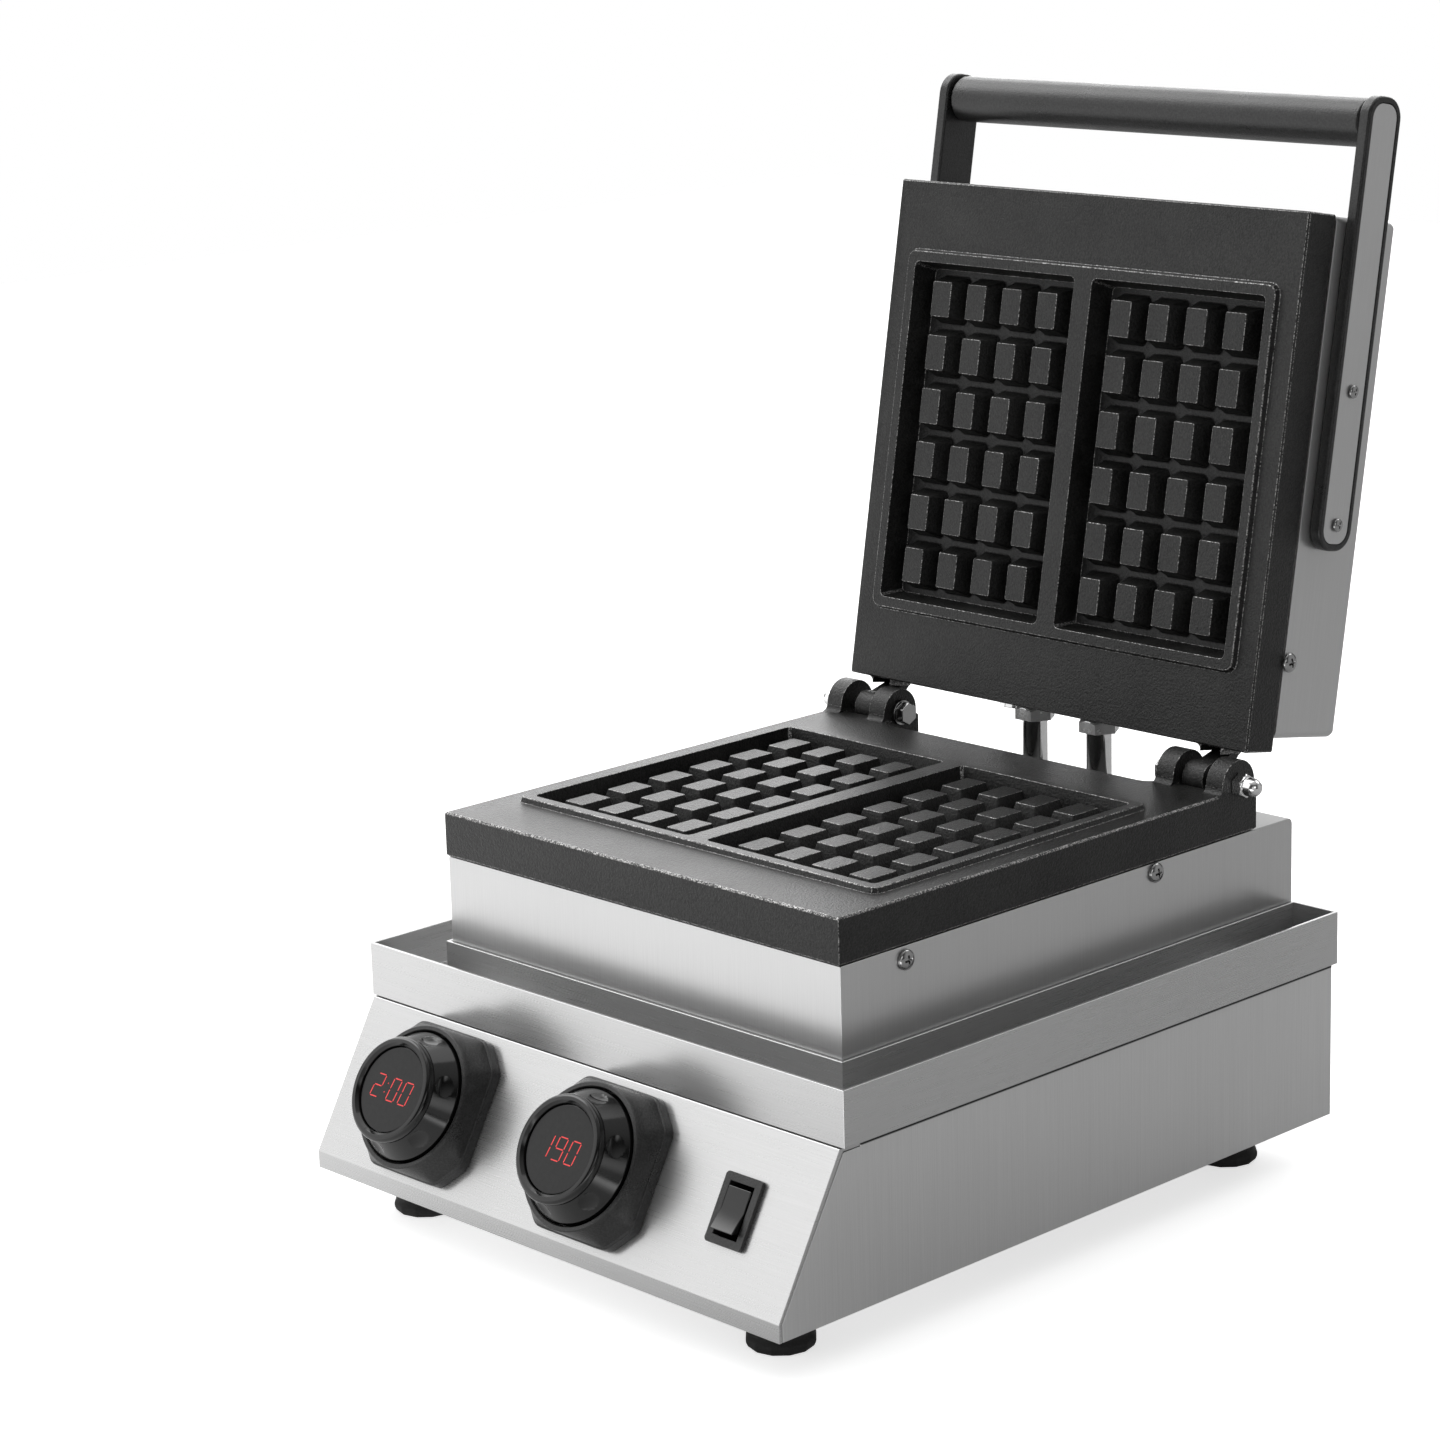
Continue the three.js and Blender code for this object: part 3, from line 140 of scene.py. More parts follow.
def start_tree(name, family, inputs, outputs):
    """An empty group with named inputs (name, kind and maybe a default) and outputs."""
    tree = bpy.data.node_groups.new(name, family + "NodeTree")
    for way, rows in (("INPUT", inputs), ("OUTPUT", outputs)):
        for label, kind, *default in rows:
            socket = tree.interface.new_socket(
                name=label, in_out=way, socket_type="NodeSocket" + kind)
            if default:
                socket.default_value = default[0]
    return tree, tree.nodes.new("NodeGroupInput").outputs, tree.nodes.new("NodeGroupOutput")


def place_group(tree, group, values):
    """The outputs of a shader group that is placed in a material."""
    return add_node(tree, "ShaderNodeGroup", values, node_tree=group).outputs


def start_material(name, metallic=0.0, ior=1.5):
    """A material with one Principled shader, and its tree, shader and coordinates in hand."""
    material = bpy.data.materials.new(name)
    material.use_nodes = True
    tree = material.node_tree
    shader = tree.nodes["Principled BSDF"]
    feed(tree, shader, {"Metallic": metallic, "IOR": ior})
    return material, tree, shader, tree.nodes.new("ShaderNodeTexCoord").outputs

# %% Common nodes
def rgba(tone, share=1.0):
    """A colour from one grey tone or from three values, dimmed to a share."""
    values = tone if isinstance(tone, tuple) else (tone, tone, tone)
    return (*(share * value for value in values), 1)


def noise(tree, vector, scale, detail, roughness):
    values = {"Vector": vector, "Scale": scale, "Detail": detail, "Roughness": roughness}
    return add_node(tree, "ShaderNodeTexNoise", values).outputs["Fac"]


def calc(tree, operation, *values, **settings):
    """The result of one Math node, with its inputs in order."""
    values = dict(enumerate(values))
    return add_node(tree, "ShaderNodeMath", values, operation=operation, **settings).outputs[0]


def measure(tree, operation, first, second):
    """A number from two vectors, such as their DOT_PRODUCT or DISTANCE."""
    values = {0: first, 1: second}
    return add_node(tree, "ShaderNodeVectorMath", values, operation=operation).outputs["Value"]


def ranged(tree, value, low, high, start=0.0, end=1.0, **settings):
    """A value brought from low..high to start..end."""
    values = {"Value": value, "From Min": low, "From Max": high, "To Min": start, "To Max": end}
    return add_node(tree, "ShaderNodeMapRange", values, **settings).outputs[0]


def mixed(tree, factor, first, second):
    """Two colours mixed by a factor."""
    values = {"Factor": factor, "A": first, "B": second}
    return add_node(tree, "ShaderNodeMix", values, data_type="RGBA").outputs["Result"]


def bumped(tree, height, strength, distance):
    """A normal that follows a height."""
    values = {"Height": height, "Strength": strength, "Distance": distance}
    return add_node(tree, "ShaderNodeBump", values).outputs[0]

# %% [markdown]
# ## Grain shared by the finishes
#
# Brushed steel, cast iron and moulded plastic share one idea: a fine and a broad noise are mixed,
# and the mix moves the colour between two tones and the gloss between two values. The groups below
# are built once, and each finish places one with its own numbers.

# %% What the grain groups share
GRAIN_INPUTS = [
    ("Dark", "Color", rgba(0.01)), ("Light", "Color", rgba(0.03)),
    ("Smooth", "Float", 0.3), ("Rough", "Float", 0.5)]
GRAIN_OUTPUTS = [("Color", "Color"), ("Roughness", "Float"), ("Height", "Float")]


def mix_grains(tree, fine, broad, fine_share):
    return calc(
        tree, "MULTIPLY_ADD", broad, 1 - fine_share, calc(tree, "MULTIPLY", fine, fine_share))


def end_grain(tree, given, made, height, tone, gloss):
    """Fills the outputs. Tone and gloss are each a noise with its low and its high value."""
    feed(tree, made, {
        "Color": mixed(tree, ranged(tree, *tone), given["Dark"], given["Light"]),
        "Roughness": ranged(tree, *gloss, given["Smooth"], given["Rough"]), "Height": height})
    print("group", tree.name)

# %% [markdown]
# On a brushed sheet the grain is long fine scratches made by a belt. Noise that is squeezed across
# the belt and stretched along it gives them.

# %% Brushed grain group
brushed, given, made = start_tree(
    "brushed_grain", "Shader",
    [("Vector", "Vector", (0, 0, 0)), ("Stretch", "Vector", (1, 1, 1)), *GRAIN_INPUTS],
    GRAIN_OUTPUTS)
squeezed = add_node(
    brushed, "ShaderNodeVectorMath", {0: given["Vector"], 1: given["Stretch"]},
    operation="MULTIPLY").outputs[0]
fine = noise(brushed, squeezed, 1.0, 4.0, 0.65)
both = mix_grains(brushed, fine, noise(brushed, given["Vector"], 7.0, 2.0, 0.5), 0.72)
end_grain(brushed, given, made, fine, (both, 0.36, 0.64), (both, 0.3, 0.7))

# %% [markdown]
# Cast iron and moulded plastic have a fine skin of two grain sizes, one from the sand or the
# spark-eroded mould, one from handling. Its sizes are inputs.

# %% Grain skin group
skin, given, made = start_tree(
    "grain_skin", "Shader",
    [("Vector", "Vector", (0, 0, 0)), ("Fine", "Float", 900.0), ("Coarse", "Float", 60.0),
     *GRAIN_INPUTS],
    GRAIN_OUTPUTS)
fine = noise(skin, given["Vector"], given["Fine"], 3.0, 0.6)
cloud = noise(skin, given["Vector"], given["Coarse"], 4.0, 0.6)
both = mix_grains(skin, fine, cloud, 0.65)
end_grain(skin, given, made, fine, (both, 0.38, 0.64), (cloud, 0.32, 0.7))

# %% [markdown]
# Edges of a casting are rubbed bright in small flecks. Each rounded edge face carries an
# attribute called edge, and this group breaks it into flecks with a noise.

# %% Edge fleck group
FLECK_CONTRAST = 9.0
flecks, given, made = start_tree(
    "edge_flecks", "Shader",
    [("Vector", "Vector", (0, 0, 0)), ("Scale", "Float", 500.0), ("Cover", "Float", 0.5)],
    [("Mask", "Float")])
edge_value = add_node(flecks, "ShaderNodeAttribute", attribute_name="edge").outputs["Fac"]
spots = noise(flecks, given["Vector"], given["Scale"], 3.0, 0.7)
above = calc(flecks, "SUBTRACT", spots, calc(flecks, "SUBTRACT", 1.0, given["Cover"]))
sharpened = calc(flecks, "MULTIPLY", above, FLECK_CONTRAST, use_clamp=True)
feed(flecks, made, {"Mask": calc(flecks, "MULTIPLY", sharpened, edge_value)})
print("group", flecks.name)

# %% [markdown]
# ## Finishes
#
# Stainless sheet comes in two directions here. The housing, the lid and the body's wrap are
# brushed upright, the tray and the panel along their length. The lid leans back, so its scratches
# lean with it.

# %% Stainless steel
OPEN_ANGLE = math.radians(100.25)
LID_LEAN = OPEN_ANGLE - math.pi / 2
ALONG, ACROSS = 20.0, 4200.0
UPRIGHT = (ACROSS, ACROSS, ALONG)
LENGTHWISE = (ALONG, ALONG, ACROSS)
STEEL_METALLIC = 0.76


def brushed_steel(name, stretch, tones, gloss, lean=0.0, shaded_top_tone=0.24, shaded_top_share=0.95, graze=1.0):
    """Brushed sheet between two tones and two roughness values. Faces that look straight up are
    given a darker colour: painted shade, which keeps them from shining white in the light behind."""
    material, tree, shader, coords = start_material(name, metallic=STEEL_METALLIC)
    turned = add_node(
        tree, "ShaderNodeMapping", {"Vector": coords["Object"], "Rotation": (lean, 0, 0)})
    grain = place_group(tree, brushed, {
        "Vector": turned.outputs[0], "Stretch": stretch,
        "Dark": rgba(tones[0]), "Light": rgba(tones[1]), "Smooth": gloss[0], "Rough": gloss[1]})
    facing = add_node(tree, "ShaderNodeSeparateXYZ", {0: coords["Normal"]})
    # Painted shade: faces that look up have their colour mixed towards a dark tone.
    painted_top_shade = ranged(tree, facing.outputs["Z"], 0.8, 0.98, 0.0, shaded_top_share)
    feed(tree, shader, {
        "Base Color": mixed(tree, painted_top_shade, grain["Color"], rgba(shaded_top_tone)),
        "Specular Tint": rgba(graze), "Roughness": grain["Roughness"],
        "Normal": bumped(tree, grain["Height"], 0.02, 0.02 * MM)})
    return material


steel_upright = brushed_steel("steel_upright", UPRIGHT, (0.6, 0.67), (0.28, 0.32), graze=0.5)
# On the tray this painted shade also darkens the gutter's floor.
steel_lengthwise = brushed_steel(
    "steel_lengthwise", LENGTHWISE, (0.58, 0.64), (0.26, 0.30), shaded_top_tone=0.25, shaded_top_share=0.8)
steel_lid = brushed_steel("steel_lid", UPRIGHT, (0.58, 0.64), (0.28, 0.32), lean=LID_LEAN)

# %% [markdown]
# The body's wrap is a brighter sheet than the tray. Where the tray's band hangs over it, a painted
# shadow shows as one dark line in the colour just under the band.

# %% Body sheet with a painted shadow under the band
SHADOW_LINE_HEIGHT = 2.0 * MM
SHADOW_LINE_TONE = 0.03


def body_sheet(band_bottom):
    """Brushed sheet with a painted shadow, dark just under the band and behind it."""
    material = brushed_steel("steel_body", UPRIGHT, (0.71, 0.8), (0.3, 0.36))
    tree = material.node_tree
    shader = tree.nodes["Principled BSDF"]
    place = add_node(tree, "ShaderNodeTexCoord").outputs["Object"]
    height = add_node(tree, "ShaderNodeSeparateXYZ", {0: place}).outputs["Z"]
    # Painted shadow: the colour turns dark in a thin line under the band's overhang, and stays dark
    # above it.
    painted_shadow = ranged(tree, height, band_bottom - SHADOW_LINE_HEIGHT, band_bottom - 0.75 * SHADOW_LINE_HEIGHT)
    plain = shader.inputs["Base Color"].links[0].from_socket
    feed(tree, shader, {"Base Color": mixed(tree, painted_shadow, plain, rgba(SHADOW_LINE_TONE))})
    return material


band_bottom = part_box("drip_tray")[0][2]
steel_body = body_sheet(band_bottom)
print("steel finishes", 4, "with the joint line at", round(band_bottom, 4))

# %% [markdown]
# The castings are dark with a fine sand grain and a baked-on sheen, and flecks on their rounded
# edges. Small metal parts have faint smudges that change the gloss, and plastics have the grain of
# their mould.

# %% Recipes with the grain skin
def skin_of(tree, coords, fine, coarse, dark, light, gloss):
    return place_group(tree, skin, {
        "Vector": coords["Object"], "Fine": fine, "Coarse": coarse, "Dark": dark, "Light": light,
        "Smooth": gloss[0], "Rough": gloss[1]})


def cast_iron():
    material, tree, shader, coords = start_material("cast_skin", ior=1.42)
    grain = skin_of(
        tree, coords, 1000.0, 30.0, rgba(0.001), rgba((0.028, 0.028, 0.027)), (0.31, 0.38))
    worn = place_group(
        tree, flecks, {"Vector": coords["Object"], "Scale": 1500.0, "Cover": 0.53})["Mask"]
    feed(tree, shader, {
        "Base Color": mixed(tree, worn, grain["Color"], rgba((0.44, 0.435, 0.43))),
        "Metallic": worn, "Roughness": grain["Roughness"],
        "Normal": bumped(tree, grain["Height"], 0.9, 0.5 * MM)})
    return material


def smudged_metal(name, tone, gloss, metallic=1.0):
    material, tree, shader, coords = start_material(name, metallic=metallic)
    smudge = skin_of(tree, coords, 3000.0, 160.0, rgba(tone, 0.8), rgba(tone), gloss)
    feed(tree, shader, {"Base Color": smudge["Color"], "Roughness": smudge["Roughness"]})
    return material


def moulded(name, dark, light, gloss, fine, bump, ior=1.48):
    material, tree, shader, coords = start_material(name, ior=ior)
    grain = skin_of(tree, coords, fine, 45.0, rgba(dark), rgba(light), gloss)
    feed(tree, shader, {
        "Base Color": grain["Color"], "Roughness": grain["Roughness"],
        "Normal": bumped(tree, grain["Height"], bump, 0.2 * MM)})
    return material


def lit(name, tone, strength):
    material, tree, shader, coords = start_material(name)
    glow = skin_of(tree, coords, 900.0, 300.0, rgba(tone, 0.8), rgba(tone), (0.3, 0.3))
    feed(tree, shader, {
        "Base Color": glow["Color"], "Emission Color": glow["Color"],
        "Roughness": glow["Roughness"], "Emission Strength": strength})
    return material

# %% Finish of each solid
cast_skin = cast_iron()
chrome = smudged_metal("chrome", 0.88, (0.05, 0.12))
zinc = smudged_metal("zinc", 0.9, (0.2, 0.3), metallic=0.6)
screw_steel = smudged_metal("screw_steel", 0.42, (0.08, 0.16))
matte_black = moulded("matte_black", 0.01, 0.036, (0.26, 0.36), 1200.0, 0.8)
gloss_black = moulded("gloss_black", 0.004, 0.008, (0.09, 0.15), 2600.0, 0.05, 1.5)
smoked_window = moulded("smoked_window", 0.014, 0.018, (0.14, 0.2), 500.0, 0.0, 1.35)
digit_red = lit("digit_red", (0.72, 0.035, 0.035), 0.7)
finish_of_slot = {
    "stainless": steel_lengthwise, "cast_plate": cast_skin, "chrome": chrome,
    "screw_steel": screw_steel, "black_plastic": matte_black, "gloss_plastic": gloss_black,
    "display_window": smoked_window,
    "heater_steel": smudged_metal("heater_steel", (0.16, 0.14, 0.13), (0.45, 0.65)),
    "foot_rubber": moulded(
        "foot_rubber", 0.014, (0.026, 0.026, 0.025), (0.6, 0.8), 1300.0, 0.3),
    "mineral_fibre": moulded(
        "mineral_fibre", (0.5, 0.46, 0.38), (0.68, 0.64, 0.55), (0.85, 0.95), 900.0, 0.8),
    "circuit_board": moulded(
        "board_green", (0.01, 0.09, 0.03), (0.02, 0.13, 0.05), (0.35, 0.5), 700.0, 0.05),
    "ceramic": moulded(
        "glazed_ceramic", (0.68, 0.65, 0.58), (0.78, 0.75, 0.69), (0.25, 0.4), 700.0, 0.03)}
finish_of_node = {
    "plate_housing": steel_upright, "body_shell": steel_body, "lid_cover": steel_lid,
    "arm_inlay_left": steel_lid, "arm_inlay_right": steel_lid}


def finish_for(node):
    return finish_of_node.get(node) or finish_of_slot[slot_of_node[node]]


for node, node_object in frame["nodes"].items():
    node_object.data.materials.clear()
    node_object.data.materials.append(finish_for(node))
print("finishes", len(finish_of_slot))

# %% [markdown]
# ## Rounded edges
#
# No real sheet or casting has a knife edge, and it is the small round that catches the light. A
# copy of a solid is welded, its flat faces are joined again, and its longer sharp edges get a
# bevel. The new edge faces are marked, so that the cast finish can put its flecks there.

# %% Rounded copies of solids
WELD = 1e-6
FLAT_ANGLE = math.radians(0.5)
SHARP_ANGLE = math.radians(24)
SMOOTH_ANGLE = math.radians(32)
STRIP_TURN = math.radians(8)
LENGTH_PER_BEVEL = 2.6


def welded(node):
    """A solid as one editable mesh, with shared corners and whole flat faces."""
    bm = bmesh.new()
    bm.from_mesh(frame["nodes"][node].data)
    bmesh.ops.remove_doubles(bm, verts=bm.verts[:], dist=WELD)
    bmesh.ops.dissolve_limit(bm, angle_limit=FLAT_ANGLE, verts=bm.verts[:], edges=bm.edges[:])
    return bm


def round_edges(bm, width):
    """Bevels every sharp edge that is long enough for the width, and marks the new faces with 1."""
    edges = [
        edge for edge in bm.edges if len(edge.link_faces) == 2
        and edge.calc_face_angle(0) > SHARP_ANGLE and edge.calc_length() > LENGTH_PER_BEVEL * width]
    bmesh.ops.bevel(
        bm, geom=edges, offset=width, offset_type="OFFSET", segments=2, profile=0.5,
        affect="EDGES", clamp_overlap=False, material=1)


def mark_strips(bm, width):
    """Marks narrow faces too: the chamfers of a casting, which turn away from both neighbours."""
    for f in bm.faces:
        narrow = 2 * f.calc_area() / f.calc_perimeter() < width
        longest = max(edge.calc_length() for edge in f.edges)
        long_edges = [edge for edge in f.edges if edge.calc_length() > 0.5 * longest]
        if narrow and all(edge.calc_face_angle(0) > STRIP_TURN for edge in long_edges):
            f.material_index = 1


def mesh_of(bm, name):
    """The mesh of a bmesh. The faces marked with 1 keep their mark as the attribute edge."""
    mesh = bpy.data.meshes.new(name)
    bm.to_mesh(mesh)
    bm.free()
    if "edge" not in mesh.attributes:
        marks = [float(polygon.material_index) for polygon in mesh.polygons]
        mesh.attributes.new("edge", "FLOAT", "FACE").data.foreach_set("value", marks)
        mesh.polygons.foreach_set("material_index", [0] * len(marks))
    return mesh


def make_piece(bm, name, finish, body, replaced=(), smooth=SMOOTH_ANGLE):
    """A finished object from a bmesh: edge marks, shading, material, and its place in the frame."""
    mesh = mesh_of(bm, name)
    mesh.materials.append(finish)
    mesh.shade_smooth()
    mesh.set_sharp_from_angle(angle=smooth)
    piece = link_object(name, mesh)
    normals = piece.modifiers.new("even_normals", "WEIGHTED_NORMAL")
    normals.keep_sharp = True
    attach(piece, body)
    if replaced:
        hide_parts(*replaced)
    print(name, len(mesh.polygons), "faces")


def dress(name, node, width):
    """Rounded copy of a solid, shown in its place."""
    bm = welded(node)
    round_edges(bm, width)
    make_piece(bm, name, finish_for(node), body_of_node[node], (node,))


for name, node, edge_mm in (
        ("housing_walls", "plate_housing", 0.3), ("tray", "drip_tray", 0.3),
        ("body_walls", "body_shell", 0.3), ("panel_sheet", "control_panel", 0.3),
        ("lid_box", "lid_cover", 0.3), ("arm_left", "handle_arm_left", 0.5),
        ("arm_right", "handle_arm_right", 0.5), ("inlay_left", "arm_inlay_left", 0.15),
        ("inlay_right", "arm_inlay_right", 0.15), ("grip_bar", "handle_grip", 0.5),
        ("switch_surround", "switch_frame", 0.3), ("rocker_cap", "power_rocker", 0.5)):
    dress(name, node, edge_mm * MM)

# %% [markdown]
# ## The moulded castings
#
# Each casting is a slab with a raised lip round two moulds, and each mould has four columns and
# six rows of cubes. The slab is a rounded copy of its solid with the cubes lifted out and the
# floor closed again. The cubes repeat, so Geometry Nodes set one finished cube on a grid.

# %% Places inside a casting
CUBE_COLUMNS, CUBE_ROWS = 4, 6
CUBE_PITCH_X, CUBE_PITCH_Y = 22.25 * MM, 25.7 * MM
CHANNEL = 2.6 * MM
LIP_HEIGHT = 2.5 * MM
MATING_GAP = 0.4 * MM
MOULD_DEPTH = 12.5 * MM
MOULD_FRONT = 38.6 * MM
MOULD_WEB = 10.8 * MM
MOULD_DRAFT = 2.6 * MM
MOULD_WIDTH = CUBE_COLUMNS * CUBE_PITCH_X + 12.0 * MM
MOULD_LENGTH = CUBE_ROWS * CUBE_PITCH_Y + 8.4 * MM
HINGE_FROM_FRONT = 255.2 * MM
floor_z = LIP_HEIGHT - MOULD_DEPTH
mould_x = (MOULD_WEB + MOULD_WIDTH) / 2
mould_y = MOULD_FRONT + MOULD_LENGTH / 2

# The lower face frame has its zero at the casting's front rim. The upper one is the same frame
# turned over the hinge: first flipped to face down, then opened.
lower_face = Matrix.Translation(casting_zero)
flip = Matrix.Translation((0, 0, 2 * LIP_HEIGHT + MATING_GAP)) @ Matrix.Rotation(math.pi, 4, "Y")
to_hinge = Matrix.Translation((0, HINGE_FROM_FRONT, LIP_HEIGHT + MATING_GAP / 2))
opened = to_hinge @ Matrix.Rotation(-OPEN_ANGLE, 4, "X") @ to_hinge.inverted()
castings = (("lower", lower_face), ("upper", lower_face @ opened @ flip))

# %% Castings without their cubes
CAST_EDGE = 0.25 * MM
WORN_STRIP = 0.95 * MM
SLACK = 0.05 * MM


def casting_without_cubes(node, face):
    """The casting's mesh in its own face frame, with its cubes lifted out and its floors closed."""
    bm = welded(node)
    bm.transform(face.inverted())
    half_x = MOULD_WIDTH / 2 - MOULD_DRAFT + SLACK
    half_y = MOULD_LENGTH / 2 - MOULD_DRAFT + SLACK

    def inside(vert):
        x, y, z = vert.co
        return z > floor_z - SLACK and abs(abs(x) - mould_x) < half_x and abs(y - mould_y) < half_y

    gone = [f for f in bm.faces if all(inside(vert) for vert in f.verts)]
    bmesh.ops.delete(bm, geom=gone, context="FACES")
    rims = [edge for edge in bm.edges if edge.is_boundary]
    bmesh.ops.holes_fill(bm, edges=rims, sides=0)
    bmesh.ops.recalc_face_normals(bm, faces=bm.faces[:])
    return bm


for level, face in castings:
    node = f"{level}_plate"
    bm = casting_without_cubes(node, face)
    round_edges(bm, CAST_EDGE)
    mark_strips(bm, WORN_STRIP)
    bm.transform(face)
    make_piece(bm, f"{level}_casting", cast_skin, body_of_node[node], (node,))

# %% Forms from rings of points
def polar(radius, angle, z):
    return radius * math.cos(angle), radius * math.sin(angle), z


def loft(rings, closed=False, capped=False, bm=None):
    """A form with faces from each ring of points to the next, and its faces strip by strip. One
    point alone is a pole. A closed form runs back to its first ring, a capped one gets two ends."""
    bm = bm or bmesh.new()
    rings = [[bm.verts.new(point) for point in ring] for ring in rings]
    if capped:
        bm.faces.new(rings[-1])
        bm.faces.new(list(reversed(rings[0])))
    if closed:
        rings.append(rings[0])
    strips = []
    for low, high in zip(rings, rings[1:]):
        count = max(len(low), len(high))
        strips.append([])
        for i in range(count):
            j = (i + 1) % count
            if len(low) == 1:
                corners = (low[0], high[j], high[i])
            elif len(high) == 1:
                corners = (low[i], low[j], high[0])
            else:
                corners = (low[i], low[j], high[j], high[i])
            strips[-1].append(bm.faces.new(corners))
    bmesh.ops.recalc_face_normals(bm, faces=bm.faces[:])
    return bm, strips


def revolve(profile, segments, closed=False):
    """A form from a profile of (radius, height) points, turned about Z."""
    rings = [
        [polar(radius, 2 * math.pi * i / segments, z) for i in range(segments if radius else 1)]
        for radius, z in profile]
    return loft(rings, closed)[0]

# %% One mould cube
CUBE_TOP_X, CUBE_TOP_Y = 11.9 * MM, 16.8 * MM
CUBE_HEIGHT = MOULD_DEPTH - 2.2 * MM
CUBE_SINK = 0.4 * MM
FOOT_FILLET, CROWN_ROUND = 0.3 * MM, 0.35 * MM
BASE_CORNER, TOP_CORNER, LEAST_CORNER = 2.8 * MM, 0.8 * MM, 0.4 * MM
CORNER_STEPS = 3


def rounded_outline(width, length, corner, z):
    points = []
    for quarter, (sx, sy) in enumerate(((1, 1), (-1, 1), (-1, -1), (1, -1))):
        for step in range(CORNER_STEPS + 1):
            x, y, _ = polar(corner, (quarter + step / CORNER_STEPS) * math.pi / 2, z)
            points.append((sx * (width / 2 - corner) + x, sy * (length / 2 - corner) + y, z))
    return points


def mould_cube():
    """A tapered block with a filleted foot, a diamond-cornered base and a rounded top."""
    base_x, base_y = CUBE_PITCH_X - CHANNEL, CUBE_PITCH_Y - CHANNEL
    shoulder = CUBE_HEIGHT - CROWN_ROUND
    # Each level has its height, how far it stands out from the taper, and its share of the taper.
    levels = [
        (-CUBE_SINK, FOOT_FILLET, 0.0), (0.0, FOOT_FILLET, 0.0),
        (0.25 * FOOT_FILLET, 0.45 * FOOT_FILLET, 0.03), (FOOT_FILLET, 0.06 * FOOT_FILLET, 0.09),
        (shoulder, 0.0, 1 - CROWN_ROUND / CUBE_HEIGHT)]
    for step in range(1, CORNER_STEPS + 1):
        angle = step / CORNER_STEPS * math.pi / 2
        levels.append((
            shoulder + CROWN_ROUND * math.sin(angle), -CROWN_ROUND * (1 - math.cos(angle)), 1.0))
    rings = []
    for z, out, share in levels:
        rings.append(rounded_outline(
            base_x + (CUBE_TOP_X - base_x) * share + 2 * out,
            base_y + (CUBE_TOP_Y - base_y) * share + 2 * out,
            max(BASE_CORNER + (TOP_CORNER - BASE_CORNER) * share + out, LEAST_CORNER), z))
    bm, strips = loft(rings, capped=True)
    for f in strips[-2] + strips[-1]:
        f.material_index = 1
    mesh = mesh_of(bm, "mould_cube")
    mesh.shade_smooth()
    return link_object("mould_cube", mesh)


cube_source = mould_cube()
print("cube", len(cube_source.data.polygons), "faces")

# %% [markdown]
# The grid tree takes the cube as an object and the pitch as numbers. One grid of points gets an
# instance at each point, the result is made real, and the cast finish is set on it.

# %% Geometry Nodes helpers
def start_scatter(name, inputs):
    return start_tree(
        name, "Geometry", [("Geometry", "Geometry"), *inputs, ("Finish", "Material")],
        [("Geometry", "Geometry")])


def end_scatter(tree, given, made, values):
    """Sets instances on points, makes them real and gives them the tree's finish."""
    on_points = add_node(tree, "GeometryNodeInstanceOnPoints", values)
    real = add_node(tree, "GeometryNodeRealizeInstances", {0: on_points.outputs[0]})
    finish = add_node(
        tree, "GeometryNodeSetMaterial", {"Geometry": real.outputs[0], "Material": given["Finish"]})
    feed(tree, made, {0: finish.outputs[0]})


def geometry_of(tree, source):
    return add_node(tree, "GeometryNodeObjectInfo", {"Object": source}).outputs["Geometry"]


def evaluated_mesh(source):
    """The mesh of an object after its modifiers. The object itself is removed."""
    depsgraph = bpy.context.evaluated_depsgraph_get()
    depsgraph.update()
    mesh = bpy.data.meshes.new_from_object(source.evaluated_get(depsgraph))
    bpy.data.objects.remove(source)
    return mesh


def run_tree(tree, values, name):
    """Runs a geometry tree on an empty mesh and gives its result back as a plain mesh."""
    carrier = link_object(name, bpy.data.meshes.new(name))
    modifier = carrier.modifiers.new(name, "NODES")
    modifier.node_group = tree
    for item in tree.interface.items_tree:
        if item.item_type == "SOCKET" and item.in_out == "INPUT" and item.name in values:
            modifier[item.identifier] = values[item.name]
    return evaluated_mesh(carrier)

# %% Grid of cubes with Geometry Nodes
def grid_tree():
    tree, given, made = start_scatter("cube_grid", [
        ("Cube", "Object"), ("Columns", "Int"), ("Rows", "Int"), ("Width", "Float"),
        ("Length", "Float")])
    grid = add_node(tree, "GeometryNodeMeshGrid", {
        "Vertices X": given["Columns"], "Vertices Y": given["Rows"],
        "Size X": given["Width"], "Size Y": given["Length"]})
    end_scatter(tree, given, made, {
        "Points": grid.outputs["Mesh"], "Instance": geometry_of(tree, given["Cube"])})
    return tree


grid_mesh = run_tree(grid_tree(), {
    "Cube": cube_source, "Columns": CUBE_COLUMNS, "Rows": CUBE_ROWS, "Finish": cast_skin,
    "Width": (CUBE_COLUMNS - 1) * CUBE_PITCH_X, "Length": (CUBE_ROWS - 1) * CUBE_PITCH_Y},
    "cube_grid")
for level, face in castings:
    bm = bmesh.new()
    for side in (-1, 1):
        one = grid_mesh.copy()
        one.transform(face @ Matrix.Translation((side * mould_x, mould_y, floor_z)))
        bm.from_mesh(one)
        bpy.data.meshes.remove(one)
    make_piece(bm, f"{level}_cubes", cast_skin, body_of_node[f"{level}_plate"])
bpy.data.objects.remove(cube_source)

# %% [markdown]
# ## Screws, nuts and bolts
#
# The side screws are round-headed with a cross. One head is turned and its cross is cut with a
# Boolean, and Geometry Nodes set it at each place, turned by a different angle as a fitter leaves
# them.

